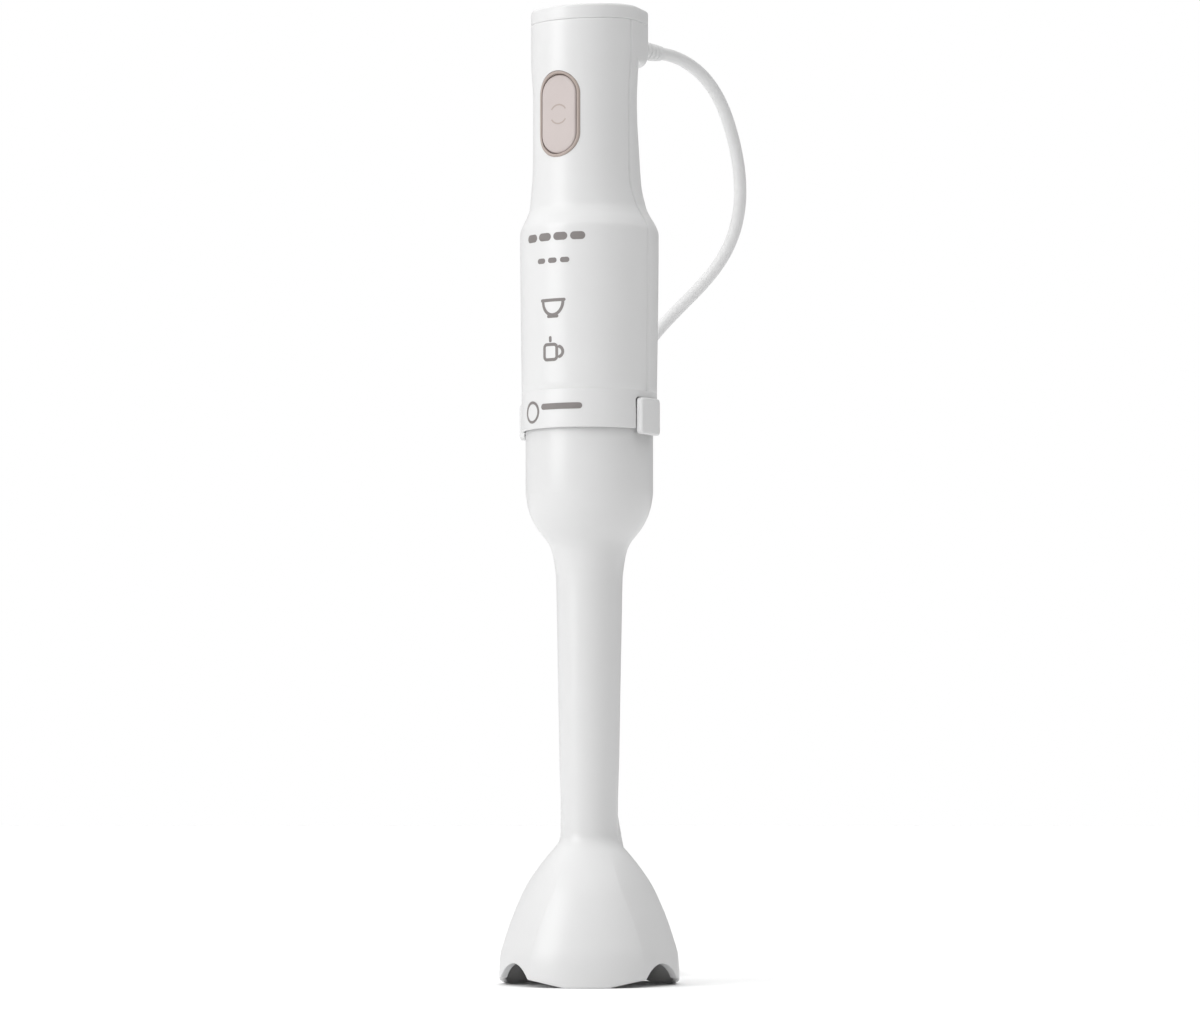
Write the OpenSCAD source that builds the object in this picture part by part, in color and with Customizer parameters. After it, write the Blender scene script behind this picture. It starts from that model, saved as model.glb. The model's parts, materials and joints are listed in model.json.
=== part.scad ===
/* [Bar] */
// Outer radius of the bell at the floor
bell_r = 34.4; // [33.8:0.1:35]
// Height of the bell up to its neck
bell_h = 57; // [56:0.5:58]
// Wall of the bell
bell_wall = 2.4; // [2.2:0.1:2.6]
// Outer radius of the bar just above the bell
tube_foot_r = 10.8; // [10.6:0.1:11.2]
// Outer radius of the bar just below the cup
tube_top_r = 12.6; // [12.4:0.1:13]
// Outer radius of the cup that plugs into the motor unit
cup_r = 24.2; // [24:0.1:24.4]
// Inner radius of that cup
cup_bore_r = 21.5; // [21.4:0.1:21.7]
// Height of the arches in the bell's rim
arch_h = 8.4; // [7.5:0.1:9]
// Height of the shallow flare on both sides of each arch
flare_h = 3.5; // [2.5:0.1:4]

/* [Drive] */
// Diameter of the blade shaft
shaft_d = 6; // [5:0.5:7]
// Radial running clearance of the shafts in their bushings
running_gap = 0.05; // [0.03:0.01:0.1]
// Length of the blade from tip to tip
blade_span = 47; // [44:0.5:50]
// Number of teeth on the drive couplers
dog_teeth = 6; // [4:1:8]

/* [Motor unit] */
// Outer radius of the motor housing at its shoulder
body_r = 26.4; // [26.2:0.1:26.8]
// Outer radius of the motor housing at its lower end
body_low_r = 25.7; // [25.6:0.1:26]
// Wall of the housing shells
wall = 2.1; // [1.8:0.1:2.3]
// Radius of the handle
handle_r = 19.8; // [19.6:0.1:20.4]
// How far the handle's axis lies in front of the drive axis
handle_offset = 3.2; // [2.8:0.1:3.6]
// Overall height
total_h = 373; // [371:0.5:376]
// Slope of the head's top, up toward the back, in degrees
top_tilt = 4.3; // [3:0.1:5]
// Outer radius of the collar ring
collar_r = 25.9; // [25.8:0.1:26.2]
// Outer radius of the motor can
can_r = 19.5; // [19:0.1:20]

/* [Controls] */
// Width of the button's frame
frame_w = 17.8; // [17:0.2:18.4]
// Height of the button's frame
frame_h = 32.8; // [31:0.2:34]
// Travel of the power button
button_travel = 2; // [1:0.1:2.2]
// Travel of each release button
release_travel = 1.6; // [1.2:0.1:1.6]

/* [Cord] */
// Diameter of the cord
cord_d = 5; // [4.8:0.1:5.2]
// Turns in each layer of the stored coil
turns_per_layer = 2.25; // [2.25:1:2.25]

/* [Hidden] */
$fn = 96;
eps = 0.01;
gap = 0.3;

// Heights of the housing, from the floor up
collar_z = 208.5;
shell_z = 223;
shoulder_z = 284;
neck_z = 296.6;
grip_low = 306;
grip_z = 330;
back_low = 23.8;
lobe_z = 350.5;
neck_r = 21.5;

// Heights in the bar
cup_top = 217;
cup_floor = 186;
cup_low = 181;
bushing_z = 172;
bell_neck_top = 72;

// Lobe at the back of the head, where the cord leaves
head_r = handle_r + 0.8;
lobe_r = 15.7;
lobe_y = 13;
lobe_back = lobe_y + lobe_r;

// Top cap: heights where its planes cross the drive axis, its rounded edge, and the shells' raw height
cap_edge = 1.2;
cap_h = 6;
top_z = total_h - tan(top_tilt) * (lobe_back - cap_edge);
cap_z = top_z - cap_h;
raw_z = total_h;
cord_z = 361;
relief_r = 4.6;
flange_r = 5.3;

// Motor heights
plate_z = 235;
can_z = 238;
can_top = 274;
brush_z = 281;
bracket_top = 289;
shaft_top = 293;
motor_shaft_r = 2.5;
core_r = 14.5;

// Button
button_z = 327.5;
frame_rim = 0.8;
button_gap = 0.3;
button_w = frame_w - 2 * (frame_rim + button_gap);
button_h = frame_h - 2 * (frame_rim + button_gap);
grip_in = handle_r - wall;
face_r = 50;
dish_r = 60;

// Collar
collar_in = cup_r + 0.5;
web_z = 222.3;

// Release buttons
release_w = 13.2;
release_r = 28.3;
release_in = cup_r + 0.2 + release_travel;
release_z = 206.4;
release_h = 13.8;
leg_z = release_z + release_h;

// Stowed coil: it lies behind the object, on the line at this angle from +X
stow = 122;
coil_dist = 74.8;
coil_in = 20;
coil_out = coil_in + cord_d * turns_per_layer;
coil_centre = [coil_dist * cos(stow), coil_dist * sin(stow), 0];

// Plug, its axis parallel to the stowing line
plug_side = 17;
plug_start = 120;
plug_len = 36;
plug_t = 13.7;
plug_w = 35;
pin_r = 2;
pin_len = 19;
pin_pitch = 18.6;

// Route of the cord from the strain relief's tip down to the coil
LEAD = [
    [0, 52, 362], [0, 60, 362.6], [0, 70, 362], [0, 80, 360.2], [0, 90, 356.6],
    [0, 98.6, 351], [0, 105.4, 343.6], [0, 111, 334], [0, 115, 324], [-1, 118, 311],
    [-5, 119.5, 298], [-12, 119, 286], [-22, 116, 275], [-33, 111.5, 264], [-42, 106, 251],
    [-48, 100, 236], [-51, 95, 219], [-52, 92, 200], [-52, 91, 165], [-52, 92, 125],
    [-52, 94, 95], [-51.5, 97, 70], [-50, 101, 50], [-47.5, 104.2, 34], [-46, 104.9, 26.5],
    [-43, 104.9, 18.8], [-38.2, 103.9, 12.2], [-31.2, 101.5, 6.6], [-25.1, 97.5, 3.7],
    [-19.6, 91.9, 2.6], [-15.5, 84.7, 2.6], [-13, 80, 2.6]
];
// Route from the coil's last turn to the plug
TAIL = [
    [-66, 47, 7.5], [-69, 51.5, 7.5], [-72, 59, 7.4], [-73, 67.5, 7.1],
    [-74, 76.5, 6.9], [-75, 85, 6.9], [-78, 92.8, 6.9]
];

// ---- helpers ----

// Cylinder along Y from y0 to y1 through (x, z)
module rod_y(r, y0, y1, x = 0, z = 0) {
    translate([x, y1, z]) rotate([90, 0, 0]) cylinder(r = r, h = y1 - y0);
}

// Cylinder along X from x0 to x1 through (y, z)
module rod_x(r, x0, x1, y = 0, z = 0) {
    translate([x0, y, z]) rotate([0, 90, 0]) cylinder(r = r, h = x1 - x0);
}

// Box given by its two corners
module box(a, b) {
    translate(a) cube(b - a);
}

// Ring on the drive axis
module ring(r_out, r_in, z0, z1) {
    translate([0, 0, z0]) difference() {
        cylinder(r = r_out, h = z1 - z0);
        translate([0, 0, -1]) cylinder(r = r_in, h = z1 - z0 + 2);
    }
}

// Upright outline with round ends, centred
module stadium(w, h) {
    square([w, h - w], center = true);
    for (s = [-1, 1]) translate([0, s * (h - w) / 2]) circle(d = w);
}

// That outline pushed through the front wall at the button's height
module stadium_y(w, h, y0, y1) {
    translate([0, y1, button_z]) rotate([90, 0, 0]) linear_extrude(y1 - y0) stadium(w, h);
}

// Two circles on the Y axis joined by their outer tangents
module joined_circles(r1, y1, r2, y2) {
    a = acos((r1 - r2) / (y2 - y1));
    translate([0, y1]) circle(r = r1);
    translate([0, y2]) circle(r = r2);
    polygon([
        [r1 * sin(a), y1 + r1 * cos(a)], [r2 * sin(a), y2 + r2 * cos(a)],
        [-r2 * sin(a), y2 + r2 * cos(a)], [-r1 * sin(a), y1 + r1 * cos(a)]
    ]);
}

// Points along a smooth curve through the route's own points
function spline(p0, p1, p2, p3, t) = 0.5 * (2 * p1 + (p2 - p0) * t
    + (2 * p0 - 5 * p1 + 4 * p2 - p3) * t * t + (3 * p1 - p0 - 3 * p2 + p3) * t * t * t);
function smooth(p, n) = let (m = len(p) - 1) concat(
    [for (i = [0:m - 1], k = [0:n - 1]) spline(p[max(i - 1, 0)], p[i], p[i + 1],
        p[min(i + 2, m)], k / n)], [p[m]]);
function unit(v) = v / norm(v);

// Tube of diameter d swept along points, with flat ends; side is never along the tube
module tube_along(p, d, sides, side = [0, 0, 1]) {
    m = len(p);
    dirs = [for (i = [0:m - 1]) unit(p[min(i + 1, m - 1)] - p[max(i - 1, 0)])];
    across = [for (t = dirs) unit(side - (side * t) * t)];
    pts = [for (i = [0:m - 1], k = [0:sides - 1]) let (a = 360 * k / sides)
        p[i] + d / 2 * (cos(a) * across[i] + sin(a) * cross(dirs[i], across[i]))];
    faces = concat(
        [[for (k = [0:sides - 1]) sides - 1 - k]],
        [for (i = [0:m - 2], k = [0:sides - 1]) let (n = (k + 1) % sides)
            [i * sides + k, i * sides + n, (i + 1) * sides + n, (i + 1) * sides + k]],
        [[for (k = [0:sides - 1]) (m - 1) * sides + k]]);
    polyhedron([for (q = pts) q], [for (f = faces) [for (k = [len(f) - 1:-1:0]) f[k]]]);
}

// Helical spring from z = 0 to h
module coil_spring(r, wire_d, h, turns) {
    steps = 16;
    tube_along([for (i = [0:turns * steps]) let (a = 360 * i / steps)
        [r * cos(a), r * sin(a), wire_d / 2 + (h - wire_d) * i / (turns * steps)]], wire_d, 6);
}

// Cross-head screw along -Z, its head's top at z = 0
module screw(shank_r, head_r, head_h, length) {
    difference() {
        union() {
            translate([0, 0, -head_h]) cylinder(r = head_r, h = head_h);
            translate([0, 0, -length]) cylinder(r = shank_r, h = length - head_h + eps);
        }
        for (a = [0, 90]) rotate(a) box([-head_r * 0.55, -0.35, -head_h * 0.6],
            [head_r * 0.55, 0.35, 1]);
    }
}

// ---- housing ----

// Thin half disc behind the handle's axis, deep apart from its half width r
module back_half(r, deep) {
    linear_extrude(eps) intersection() {
        scale([1, deep / r]) circle(r = r, $fn = 48);
        translate([-r, 0]) square([2 * r, deep]);
    }
}

// Solid of the housing's outside, or of its inside when inset by the wall
module housing_form(inset) {
    rotate_extrude() polygon([
        [0, shell_z - 1], [body_low_r - inset, shell_z - 1], [body_r - inset, shoulder_z],
        [25.4 - inset, 287.2], [23.6 - inset, 290.8], [22.4 - inset, 293.8],
        [neck_r - inset, neck_z], [0, neck_z]
    ]);
    hull() {
        translate([0, 0, neck_z - eps]) cylinder(r = neck_r - inset, h = eps, $fn = 48);
        translate([0, -handle_offset, grip_low]) {
            cylinder(r = handle_r - inset, h = eps, $fn = 48);
            back_half(handle_r - inset, back_low - inset);
        }
    }
    hull() {
        translate([0, -handle_offset, grip_low]) back_half(handle_r - inset, back_low - inset);
        translate([0, -handle_offset, grip_z]) back_half(handle_r - inset, handle_r - inset);
    }
    translate([0, -handle_offset, grip_low]) cylinder(r = handle_r - inset, h = raw_z - grip_low);
    translate([0, 0, lobe_z + inset]) linear_extrude(raw_z - lobe_z - inset)
        joined_circles(head_r - inset, -handle_offset, lobe_r - inset, lobe_y);
}

// Everything in front of the parting line
module front_side() {
    translate([-40, 0, 0]) rotate([90, 0, 90]) linear_extrude(80) polygon([
        [-60, 200], [0, 200], [0, 286], [-handle_offset, 303], [-handle_offset, 380], [-60, 380]
    ]);
}

// Slab that slopes with the head's top, between two heights on the drive axis
module slab(z0, z1) {
    translate([0, 0, z0]) rotate([top_tilt, 0, 0])
        box([-40, -40, 0], [40, 40, (z1 - z0) * cos(top_tilt)]);
}

// Piece of the head between two such heights, inset all round
module head_slab(z0, z1, inset) {
    intersection() {
        slab(z0, z1);
        translate([0, 0, lobe_z]) linear_extrude(total_h - lobe_z + 5)
            joined_circles(head_r - inset, -handle_offset, lobe_r - inset, lobe_y);
    }
}

// Hollow shell with the ribs that hold the motor plate
module shell() {
    difference() {
        housing_form(0);
        translate([0, 0, shell_z - 2]) cylinder(r = body_r + 1, h = 2);
        slab(cap_z, total_h + 10);
        difference() {
            housing_form(wall);
            for (z = [plate_z - 1.5, can_z])
                ring(body_r, body_low_r - wall - 1.6, z, z + 1.5);
        }
    }
}

screw_x = 10;
screw_z = 306;

module front_housing() {
    color("whitesmoke") difference() {
        union() {
            intersection() { shell(); front_side(); }
            intersection() {
                for (s = [-1, 1]) rod_y(3.2, -19, -handle_offset, s * screw_x, screw_z);
                housing_form(1);
            }
        }
        stadium_y(frame_w, frame_h, -30, -12);
        for (s = [-1, 1]) rod_y(1.25, -15, 1, s * screw_x, screw_z);
    }
}

module rear_housing() {
    color("white") difference() {
        union() {
            difference() { shell(); front_side(); }
            intersection() {
                union() {
                    for (s = [-1, 1]) rod_y(3.6, -handle_offset, 16, s * screw_x, screw_z);
                    box([-10, 9, lobe_z - 4], [10, 15.5, cord_z - cord_d / 2]);
                }
                housing_form(1);
            }
        }
        for (s = [-1, 1]) {
            rod_y(1.6, -10, 20, s * screw_x, screw_z);
            rod_y(3, 8.5, 30, s * screw_x, screw_z);
            translate([s * 7, 12.5, cord_z - 6.5]) cylinder(r = 1.1, h = 10);
        }
        rod_y(relief_r, 18, 40, 0, cord_z);
        for (k = [0:5], s = [-1, 1]) rotate([0, 0, 90 + s * 13])
            box([body_r - 4, -4.5, 255 + 4 * k], [body_r + 4, 4.5, 256.6 + 4 * k]);
    }
}

module top_cap() {
    skirt = 1.8;
    color("white") difference() {
        union() {
            head_slab(cap_z, top_z - cap_edge, 0);
            head_slab(top_z - cap_edge - eps, top_z, cap_edge);
            head_slab(cap_z - skirt, cap_z + eps, wall);
        }
        head_slab(cap_z - 2 * skirt, top_z - wall - 0.5, wall + 1.6);
        rod_y(flange_r + 0.3, lobe_back - 6, lobe_back, 0, cord_z);
    }
}

module button_frame() {
    color("rosybrown") intersection() {
        difference() {
            stadium_y(frame_w, frame_h, -30, -12);
            stadium_y(frame_w - 2 * frame_rim, frame_h - 2 * frame_rim, -31, -11);
        }
        translate([0, -handle_offset, 300]) difference() {
            cylinder(r = handle_r + 0.3, h = 60);
            translate([0, 0, -1]) cylinder(r = grip_in, h = 62);
        }
    }
}

module power_button() {
    color("thistle") {
        difference() {
            intersection() {
                stadium_y(button_w, button_h, -30, -12);
                translate([0, face_r - handle_offset - handle_r, 300]) cylinder(r = face_r, h = 60);
            }
            translate([0, -handle_offset, 300]) cylinder(r = grip_in - 2, h = 60);
            translate([0, -handle_offset - handle_r - dish_r + 0.7, button_z]) sphere(r = dish_r);
        }
        intersection() {
            stadium_y(button_w + 2.4, button_h + 2.4, -30, -12);
            translate([0, -handle_offset, 300]) difference() {
                cylinder(r = grip_in - 0.5, h = 60);
                translate([0, 0, -1]) cylinder(r = grip_in - 2, h = 62);
            }
        }
        rod_y(2.2, -19.2, -7.5 - button_travel, 0, button_z);
    }
}

// ---- collar and coupling ----

module release_windows() {
    for (s = [-1, 1])
        box([s > 0 ? 22 : -32, -release_w / 2 - gap, release_z - gap],
            [s > 0 ? 32 : -22, release_w / 2 + gap, release_z + release_h + gap]);
}

module collar_ring() {
    color("white") difference() {
        union() {
            ring(collar_r, collar_in, collar_z, shell_z);
            ring(collar_in + 0.1, 22, web_z, shell_z);
            ring(body_low_r - wall - 0.1, 22.6, shell_z - eps, 226);
        }
        release_windows();
    }
}

module coupling_socket() {
    color("gainsboro") difference() {
        union() {
            ring(20.8, 18.6, 203, 226);
            ring(22.5, 18.6, shell_z, 226);
            ring(18.7, 6.5, 203, 205.5);
            for (s = [-1, 1]) box([s * 8.9 - 0.7, -3.5, 205], [s * 8.9 + 0.7, 3.5, 219]);
        }
        for (s = [-1, 1]) box([s > 0 ? 12 : -24, -4.5, 208], [s > 0 ? 24 : -12, 4.5, 222.2]);
        for (a = [30:60:330]) rotate(a) translate([12.5, 0, 200]) cylinder(r = 2.2, h = 8);
    }
}

// Release button on the side given by s, with its inward leg and latch nose
module release_button(s) {
    mirror([s > 0 ? 0 : 1, 0, 0]) color("white") {
        intersection() {
            difference() {
                cylinder(r = release_r, h = 300);
                translate([0, 0, -1]) cylinder(r = release_in, h = 302);
            }
            box([20, -release_w / 2, release_z], [32, release_w / 2, release_z + release_h]);
        }
        box([17.2, -4, leg_z - 2.6], [27.5, 4, leg_z]);
        box([17.2, -4, 209], [19.4, 4, leg_z]);
        box([19.3, -3.4, 210.8], [20.9, 3.4, 213.4]);
    }
}

module release_button_left() { release_button(-1); }
module release_button_right() { release_button(1); }

module release_springs() {
    color("silver") for (s = [-1, 1])
        translate([s * 9.6, 0, 215.5]) rotate([0, s * 90, 0]) coil_spring(2.2, 0.6, 7.4, 5);
}

// ---- handle internals ----

module housing_screws() {
    color("silver") for (s = [-1, 1]) translate([s * screw_x, 10.4, screw_z])
        rotate([-90, 0, 0]) screw(1.25, 2.7, 1.9, 24);
}

module power_switch() {
    color("dimgray") difference() {
        box([-6.5, -7, 319], [6.5, 6, 336]);
        rod_y(1.9, -8, -3.5, 0, button_z);
    }
}

module switch_plunger() {
    color("firebrick") rod_y(1.6, -9.4, -6, 0, button_z);
}

module button_spring() {
    color("silver") translate([0, -7.05, button_z]) rotate([90, 0, 0])
        coil_spring(3.6, 0.6, 11.2, 6);
}

module circuit_board() {
    color("darkgreen") difference() {
        box([-12, 6, 312], [12, 7.6, 346]);
        for (s = [-1, 1]) rod_y(1.2, 5, 9, s * 9.5, 314.5);
    }
}

module rectifier() {
    color("black") {
        box([-5.5, 2.6, 312.5], [5.5, 6, 317.8]);
        for (k = [-1.5:1:1.5]) box([k * 2.6 - 0.3, 5.9, 313.6], [k * 2.6 + 0.3, 9, 314.2]);
    }
}

module suppressor() {
    color("goldenrod") {
        box([-8.5, -1, 337.5], [8.5, 6, 343.5]);
        for (s = [-1, 1]) rod_y(0.4, 5.9, 9, s * 6, 340.5);
    }
}

module cord_clamp() {
    color("white") difference() {
        box([-10, 9.2, cord_z + cord_d / 2], [10, 15.3, cord_z + cord_d / 2 + 2.6]);
        for (s = [-1, 1]) translate([s * 7, 12.5, 350]) cylinder(r = 1.5, h = 20);
    }
}

module clamp_screws() {
    color("silver") for (s = [-1, 1]) translate([s * 7, 12.5, cord_z + cord_d / 2 + 4.2])
        screw(1.1, 2.2, 1.6, 11);
}

// ---- motor ----

module motor_plate() {
    color("lightgray") difference() {
        ring(body_low_r - wall, 8, plate_z, can_z);
        for (a = [0, 180]) rotate(a + 45) translate([14, 0, plate_z - 1]) cylinder(r = 1.6, h = 9);
        for (a = [0:60:300]) rotate(a + 15) translate([20.8, 0, plate_z - 1]) cylinder(r = 2, h = 9);
    }
}

module motor_screws() {
    color("silver") for (a = [45, 225]) rotate(a) translate([14, 0, plate_z - 1.7])
        rotate([180, 0, 0]) screw(1.5, 2.8, 1.7, 6);
}

module motor_can() {
    color("silver") difference() {
        union() {
            ring(can_r, can_r - 1, can_z, can_top);
            ring(can_r - 0.5, 5, can_z, can_z + 1.2);
            ring(6.2, 5, can_z, 242.4);
        }
        for (a = [45, 225]) rotate(a) translate([14, 0, can_z - 1]) cylinder(r = 1.5, h = 4);
        for (a = [0, 90, 180, 270]) rotate(a) translate([12, 0, can_z - 1]) cylinder(r = 2.5, h = 4);
    }
}

module magnets() {
    color("darkslategray") for (a = [0, 180]) rotate(a) intersection() {
        ring(can_r - 1.05, core_r + 0.5, 246, 270);
        translate([0, 0, 240]) rotate(-67) rotate_extrude(angle = 134) square([30, 40]);
    }
}

module armature_core() {
    color("gray") translate([0, 0, 247]) linear_extrude(22) difference() {
        circle(r = core_r);
        circle(r = motor_shaft_r);
        for (k = [0:11]) rotate(30 * k) translate([7.5, -1.3]) square([5.2, 2.6]);
        for (k = [0:11]) rotate(30 * k) translate([12, -0.6]) square([4, 1.2]);
    }
}

module armature_windings() {
    color("chocolate") {
        for (z = [245.2, 270.8]) translate([0, 0, z]) rotate_extrude() translate([8.8, 0])
            intersection() {
                circle(r = 3.4);
                square([8, 3.6], center = true);
            }
        for (k = [0:11]) rotate(30 * k) box([8, -1.1, 244.5], [12, 1.1, 271.5]);
    }
}

module commutator() {
    color("peru") difference() {
        ring(6.5, motor_shaft_r, 276, 286);
        for (k = [0:11]) rotate(30 * k + 15) box([5.6, -0.2, 275], [8, 0.2, 285]);
    }
}

module motor_shaft() {
    color("silver") translate([0, 0, 199.8]) cylinder(r = motor_shaft_r, h = shaft_top - 199.8);
}

module cooling_fan() {
    color("beige") {
        ring(5, motor_shaft_r, 226.5, 233);
        ring(16, 4.9, 226.5, 227.5);
        for (k = [0:8]) rotate(40 * k) box([4.8, -0.5, 227.4], [15.5, 0.5, 232]);
    }
}

module brush_bracket() {
    color("tan") difference() {
        union() {
            ring(can_r - 0.8, 7.6, can_top, can_top + 3);
            ring(can_r - 0.8, can_r - 2.6, can_top, 285);
            for (s = [-1, 1]) box([s > 0 ? 8 : -18, -5, can_top], [s > 0 ? 18 : -8, 5, 285]);
            ring(can_r - 0.8, 4, 287, bracket_top);
            ring(can_r - 0.8, can_r - 2.6, 284.9, 287.1);
        }
        for (s = [-1, 1]) rotate([0, 0, s > 0 ? 0 : 180])
            box([7, -3.6, brush_z - 3.6], [20, 3.6, brush_z + 3.6]);
    }
}

module brush_holders() {
    color("gold") for (s = [0, 180]) rotate(s) difference() {
        box([8.2, -3.6, brush_z - 3.6], [18.2, 3.6, brush_z + 3.6]);
        box([8, -3, brush_z - 3], [17.6, 3, brush_z + 3]);
    }
}

module carbon_brushes() {
    color("black") for (s = [0, 180]) rotate(s) difference() {
        box([6, -2.9, brush_z - 2.9], [13.5, 2.9, brush_z + 2.9]);
        translate([0, 0, 270]) cylinder(r = 6.5 + running_gap, h = 20);
    }
}

// Sintered bush with its flange
module bush(r_out, r_in, z0, z1) {
    color("darkgoldenrod") ring(r_out, r_in, z0, z1);
}

module upper_bearing() { bush(4, motor_shaft_r + running_gap, 286.6, 291.5); }
module lower_bearing() { bush(5, motor_shaft_r + running_gap, 238.4, 242.4); }

// Outline of the driving dog, grown by g
module dog(g) {
    circle(r = 3.3 + g);
    for (k = [0:dog_teeth - 1]) rotate(360 * k / dog_teeth)
        translate([0, -0.8 - g]) square([4.7 + g, 1.6 + 2 * g]);
}

module drive_coupler() {
    color("ivory") difference() {
        union() {
            translate([0, 0, 192]) linear_extrude(8.6) dog(0);
            ring(5.5, 0.5, 200.5, 212);
        }
        translate([0, 0, 199.8]) cylinder(r = motor_shaft_r, h = 20);
    }
}

// ---- bar ----

module bar_tube() {
    color("white") difference() {
        rotate_extrude() polygon([
            [0, bell_h], [tube_foot_r, bell_h], [tube_top_r, 153], [13, 156.5], [13.5, 160],
            [14.2, 163.5], [15.7, 166.5], [17.6, 169], [19.5, 171.3], [21.3, 174.2],
            [22.6, 177], [23.5, 180], [cup_r, cup_low + 3], [cup_r, cup_top], [0, cup_top]
        ]);
        translate([0, 0, cup_floor]) cylinder(r = cup_bore_r, h = 60);
        translate([0, 0, 40]) cylinder(r = 9, h = bushing_z - 3 - 40);
        translate([0, 0, 160]) cylinder(r = 5, h = 40);
        translate([0, 0, 210.2]) cylinder(r = cup_bore_r + 1.1, h = 4);
    }
}

// Outline of the bell, inset by t
function bell_line(t) = [
    [bell_r - t, 0], [bell_r - 0.4 - t, 10], [bell_r - 1.2 - t, 13.5], [bell_r - 2.6 - t, 18.5],
    [bell_r - 4.5 - t, 24], [bell_r - 6.9 - t, 29.7], [bell_r - 9.4 - t, 35],
    [bell_r - 12.1 - t, 40], [bell_r - 15.6 - t, 45], [bell_r - 19 - t, 49.6],
    [bell_r - 21.6 - t, 53]
];

// Cutter for an arc of this half width and height in the rim, on the side toward +X
module rim_arc(half, h) {
    r = (half * half + h * h) / (2 * h);
    rod_x(r, 18, 40, 0, h - r);
}

module blade_guard() {
    color("white") difference() {
        union() {
            rotate_extrude() polygon(concat([[0, 0]], bell_line(0), [[tube_foot_r, bell_h], [0, bell_h]]));
            translate([0, 0, bell_h - 1]) cylinder(r = 8.95, h = bell_neck_top - bell_h + 1);
        }
        rotate_extrude() polygon(concat([[0, -1]], [[bell_r - bell_wall, -1]],
            [for (p = bell_line(bell_wall)) if (p[1] < 41) p], [[9, 44], [0, 44]]));
        translate([0, 0, 40]) cylinder(r = 7, h = 40);
        for (a = [0, 120, 240]) rotate(a) {
            rim_arc(12.6, arch_h);
            rim_arc(24.4, flare_h);
        }
    }
}

module upper_bushing() {
    bush(5, shaft_d / 2 + running_gap, bushing_z, 187);
    bush(7, shaft_d / 2 + running_gap, cup_floor, 187.2);
}

module lower_bushing() { bush(7, shaft_d / 2 + running_gap, 51, bell_neck_top - 4); }

module shaft_seal() {
    color("black") difference() {
        union() {
            ring(7, 4.6, 44.5, 51);
            ring(7, shaft_d / 2 + running_gap, 48, 51);
            ring(4.7, shaft_d / 2 + running_gap, 45, 47);
            ring(5.8, 4.4, 46, 48.2);
        }
    }
}

module blade_shaft() {
    color("silver") difference() {
        translate([0, 0, 12]) cylinder(r = shaft_d / 2, h = 190.4 - 12);
        ring(5, shaft_d / 2 - 0.5, 169.6, 170.4);
    }
}

module retaining_ring() {
    color("dimgray") ring(shaft_d / 2 + 2, shaft_d / 2 - 0.5, 169.6, 170.4);
}

module bar_coupler() {
    color("ivory") difference() {
        translate([0, 0, 187.6]) cylinder(r = 8, h = 11.9);
        translate([0, 0, 187]) cylinder(r = shaft_d / 2, h = 3.4);
        translate([0, 0, 191.2]) linear_extrude(10) dog(0.35);
        for (k = [0:dog_teeth - 1]) rotate(360 * (k + 0.5) / dog_teeth)
            translate([9.2, 0, 189]) cylinder(r = 1.8, h = 12);
    }
}

module blade() {
    color("silver") difference() {
        union() {
            translate([0, 0, 14]) cylinder(r = 6, h = 1.2);
            for (s = [0, 180]) rotate(s) translate([0, 0, 14]) rotate([s > 0 ? 7 : -7, 0, 0])
                linear_extrude(1.2) polygon([
                    [-5, -4], [8, -5.5], [blade_span / 2 - 6, -3.5], [blade_span / 2 - 1.5, 1],
                    [blade_span / 2 - 3, 3.5], [12, 4.5], [-5, 4]
                ]);
        }
        cylinder(r = shaft_d / 2, h = 40);
        ring(5.6, 0.1, 15.2, 30);
        ring(5.6, 0.1, 5, 14);
    }
}

module blade_hub() {
    color("ivory") {
        difference() {
            union() {
                translate([0, 0, 15.2]) cylinder(r = 5.5, h = 16);
                translate([0, 0, 9.5]) cylinder(r = 5, h = 4.5);
            }
            translate([0, 0, 12]) cylinder(r = shaft_d / 2, h = 40);
        }
    }
}

// ---- cord ----

module strain_relief() {
    color("white") difference() {
        union() {
            rod_y(relief_r, lobe_back - 3.5, lobe_back + 0.4, 0, cord_z);
            rod_y(flange_r, lobe_back - 5.5, lobe_back - 3.4, 0, cord_z);
            hull() {
                rod_y(4.3, lobe_back, lobe_back + 0.5, 0, cord_z, $fn = 32);
                translate([0, 51.5, cord_z + 0.9]) rotate([90 + 11, 0, 0]) cylinder(r = 3, h = 0.5, $fn = 32);
            }
        }
        rod_y(cord_d / 2, lobe_back - 8, lobe_back - 3, 0, cord_z);
    }
}

module cord_inner() {
    color("white") rod_y(cord_d / 2, -4, lobe_back - 3, 0, cord_z);
}

module cord_lead() {
    color("white") tube_along(smooth(LEAD, 2), cord_d, 12, [1, 0, 0]);
}

module cord_tail() {
    color("white") tube_along(smooth(TAIL, 2), cord_d, 12);
}

module cord_coil() {
    mid = (coil_out + coil_in) / 2;
    w = (coil_out - coil_in + cord_d) / 2;
    color("white") translate(coil_centre) rotate_extrude() translate([mid, cord_d])
        intersection() {
            square([2 * w, 2 * cord_d], center = true);
            circle(r = w + 0.9);
        }
}

module cord_tie() {
    color("gray") translate(coil_centre) rotate(stow + 180) translate([(coil_out + coil_in) / 2, 0, 0])
        difference() {
            box([-9.8, -2.5, 0], [9.8, 2.5, 2 * cord_d + 1.6]);
            box([-9, -3, 0.6], [9, 3, 2 * cord_d + 0.8]);
        }
}

// Frame whose +X runs along the plug, away from the object
module plug_frame() {
    rotate(stow) translate([plug_start, plug_side, plug_t / 2]) children();
}

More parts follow.
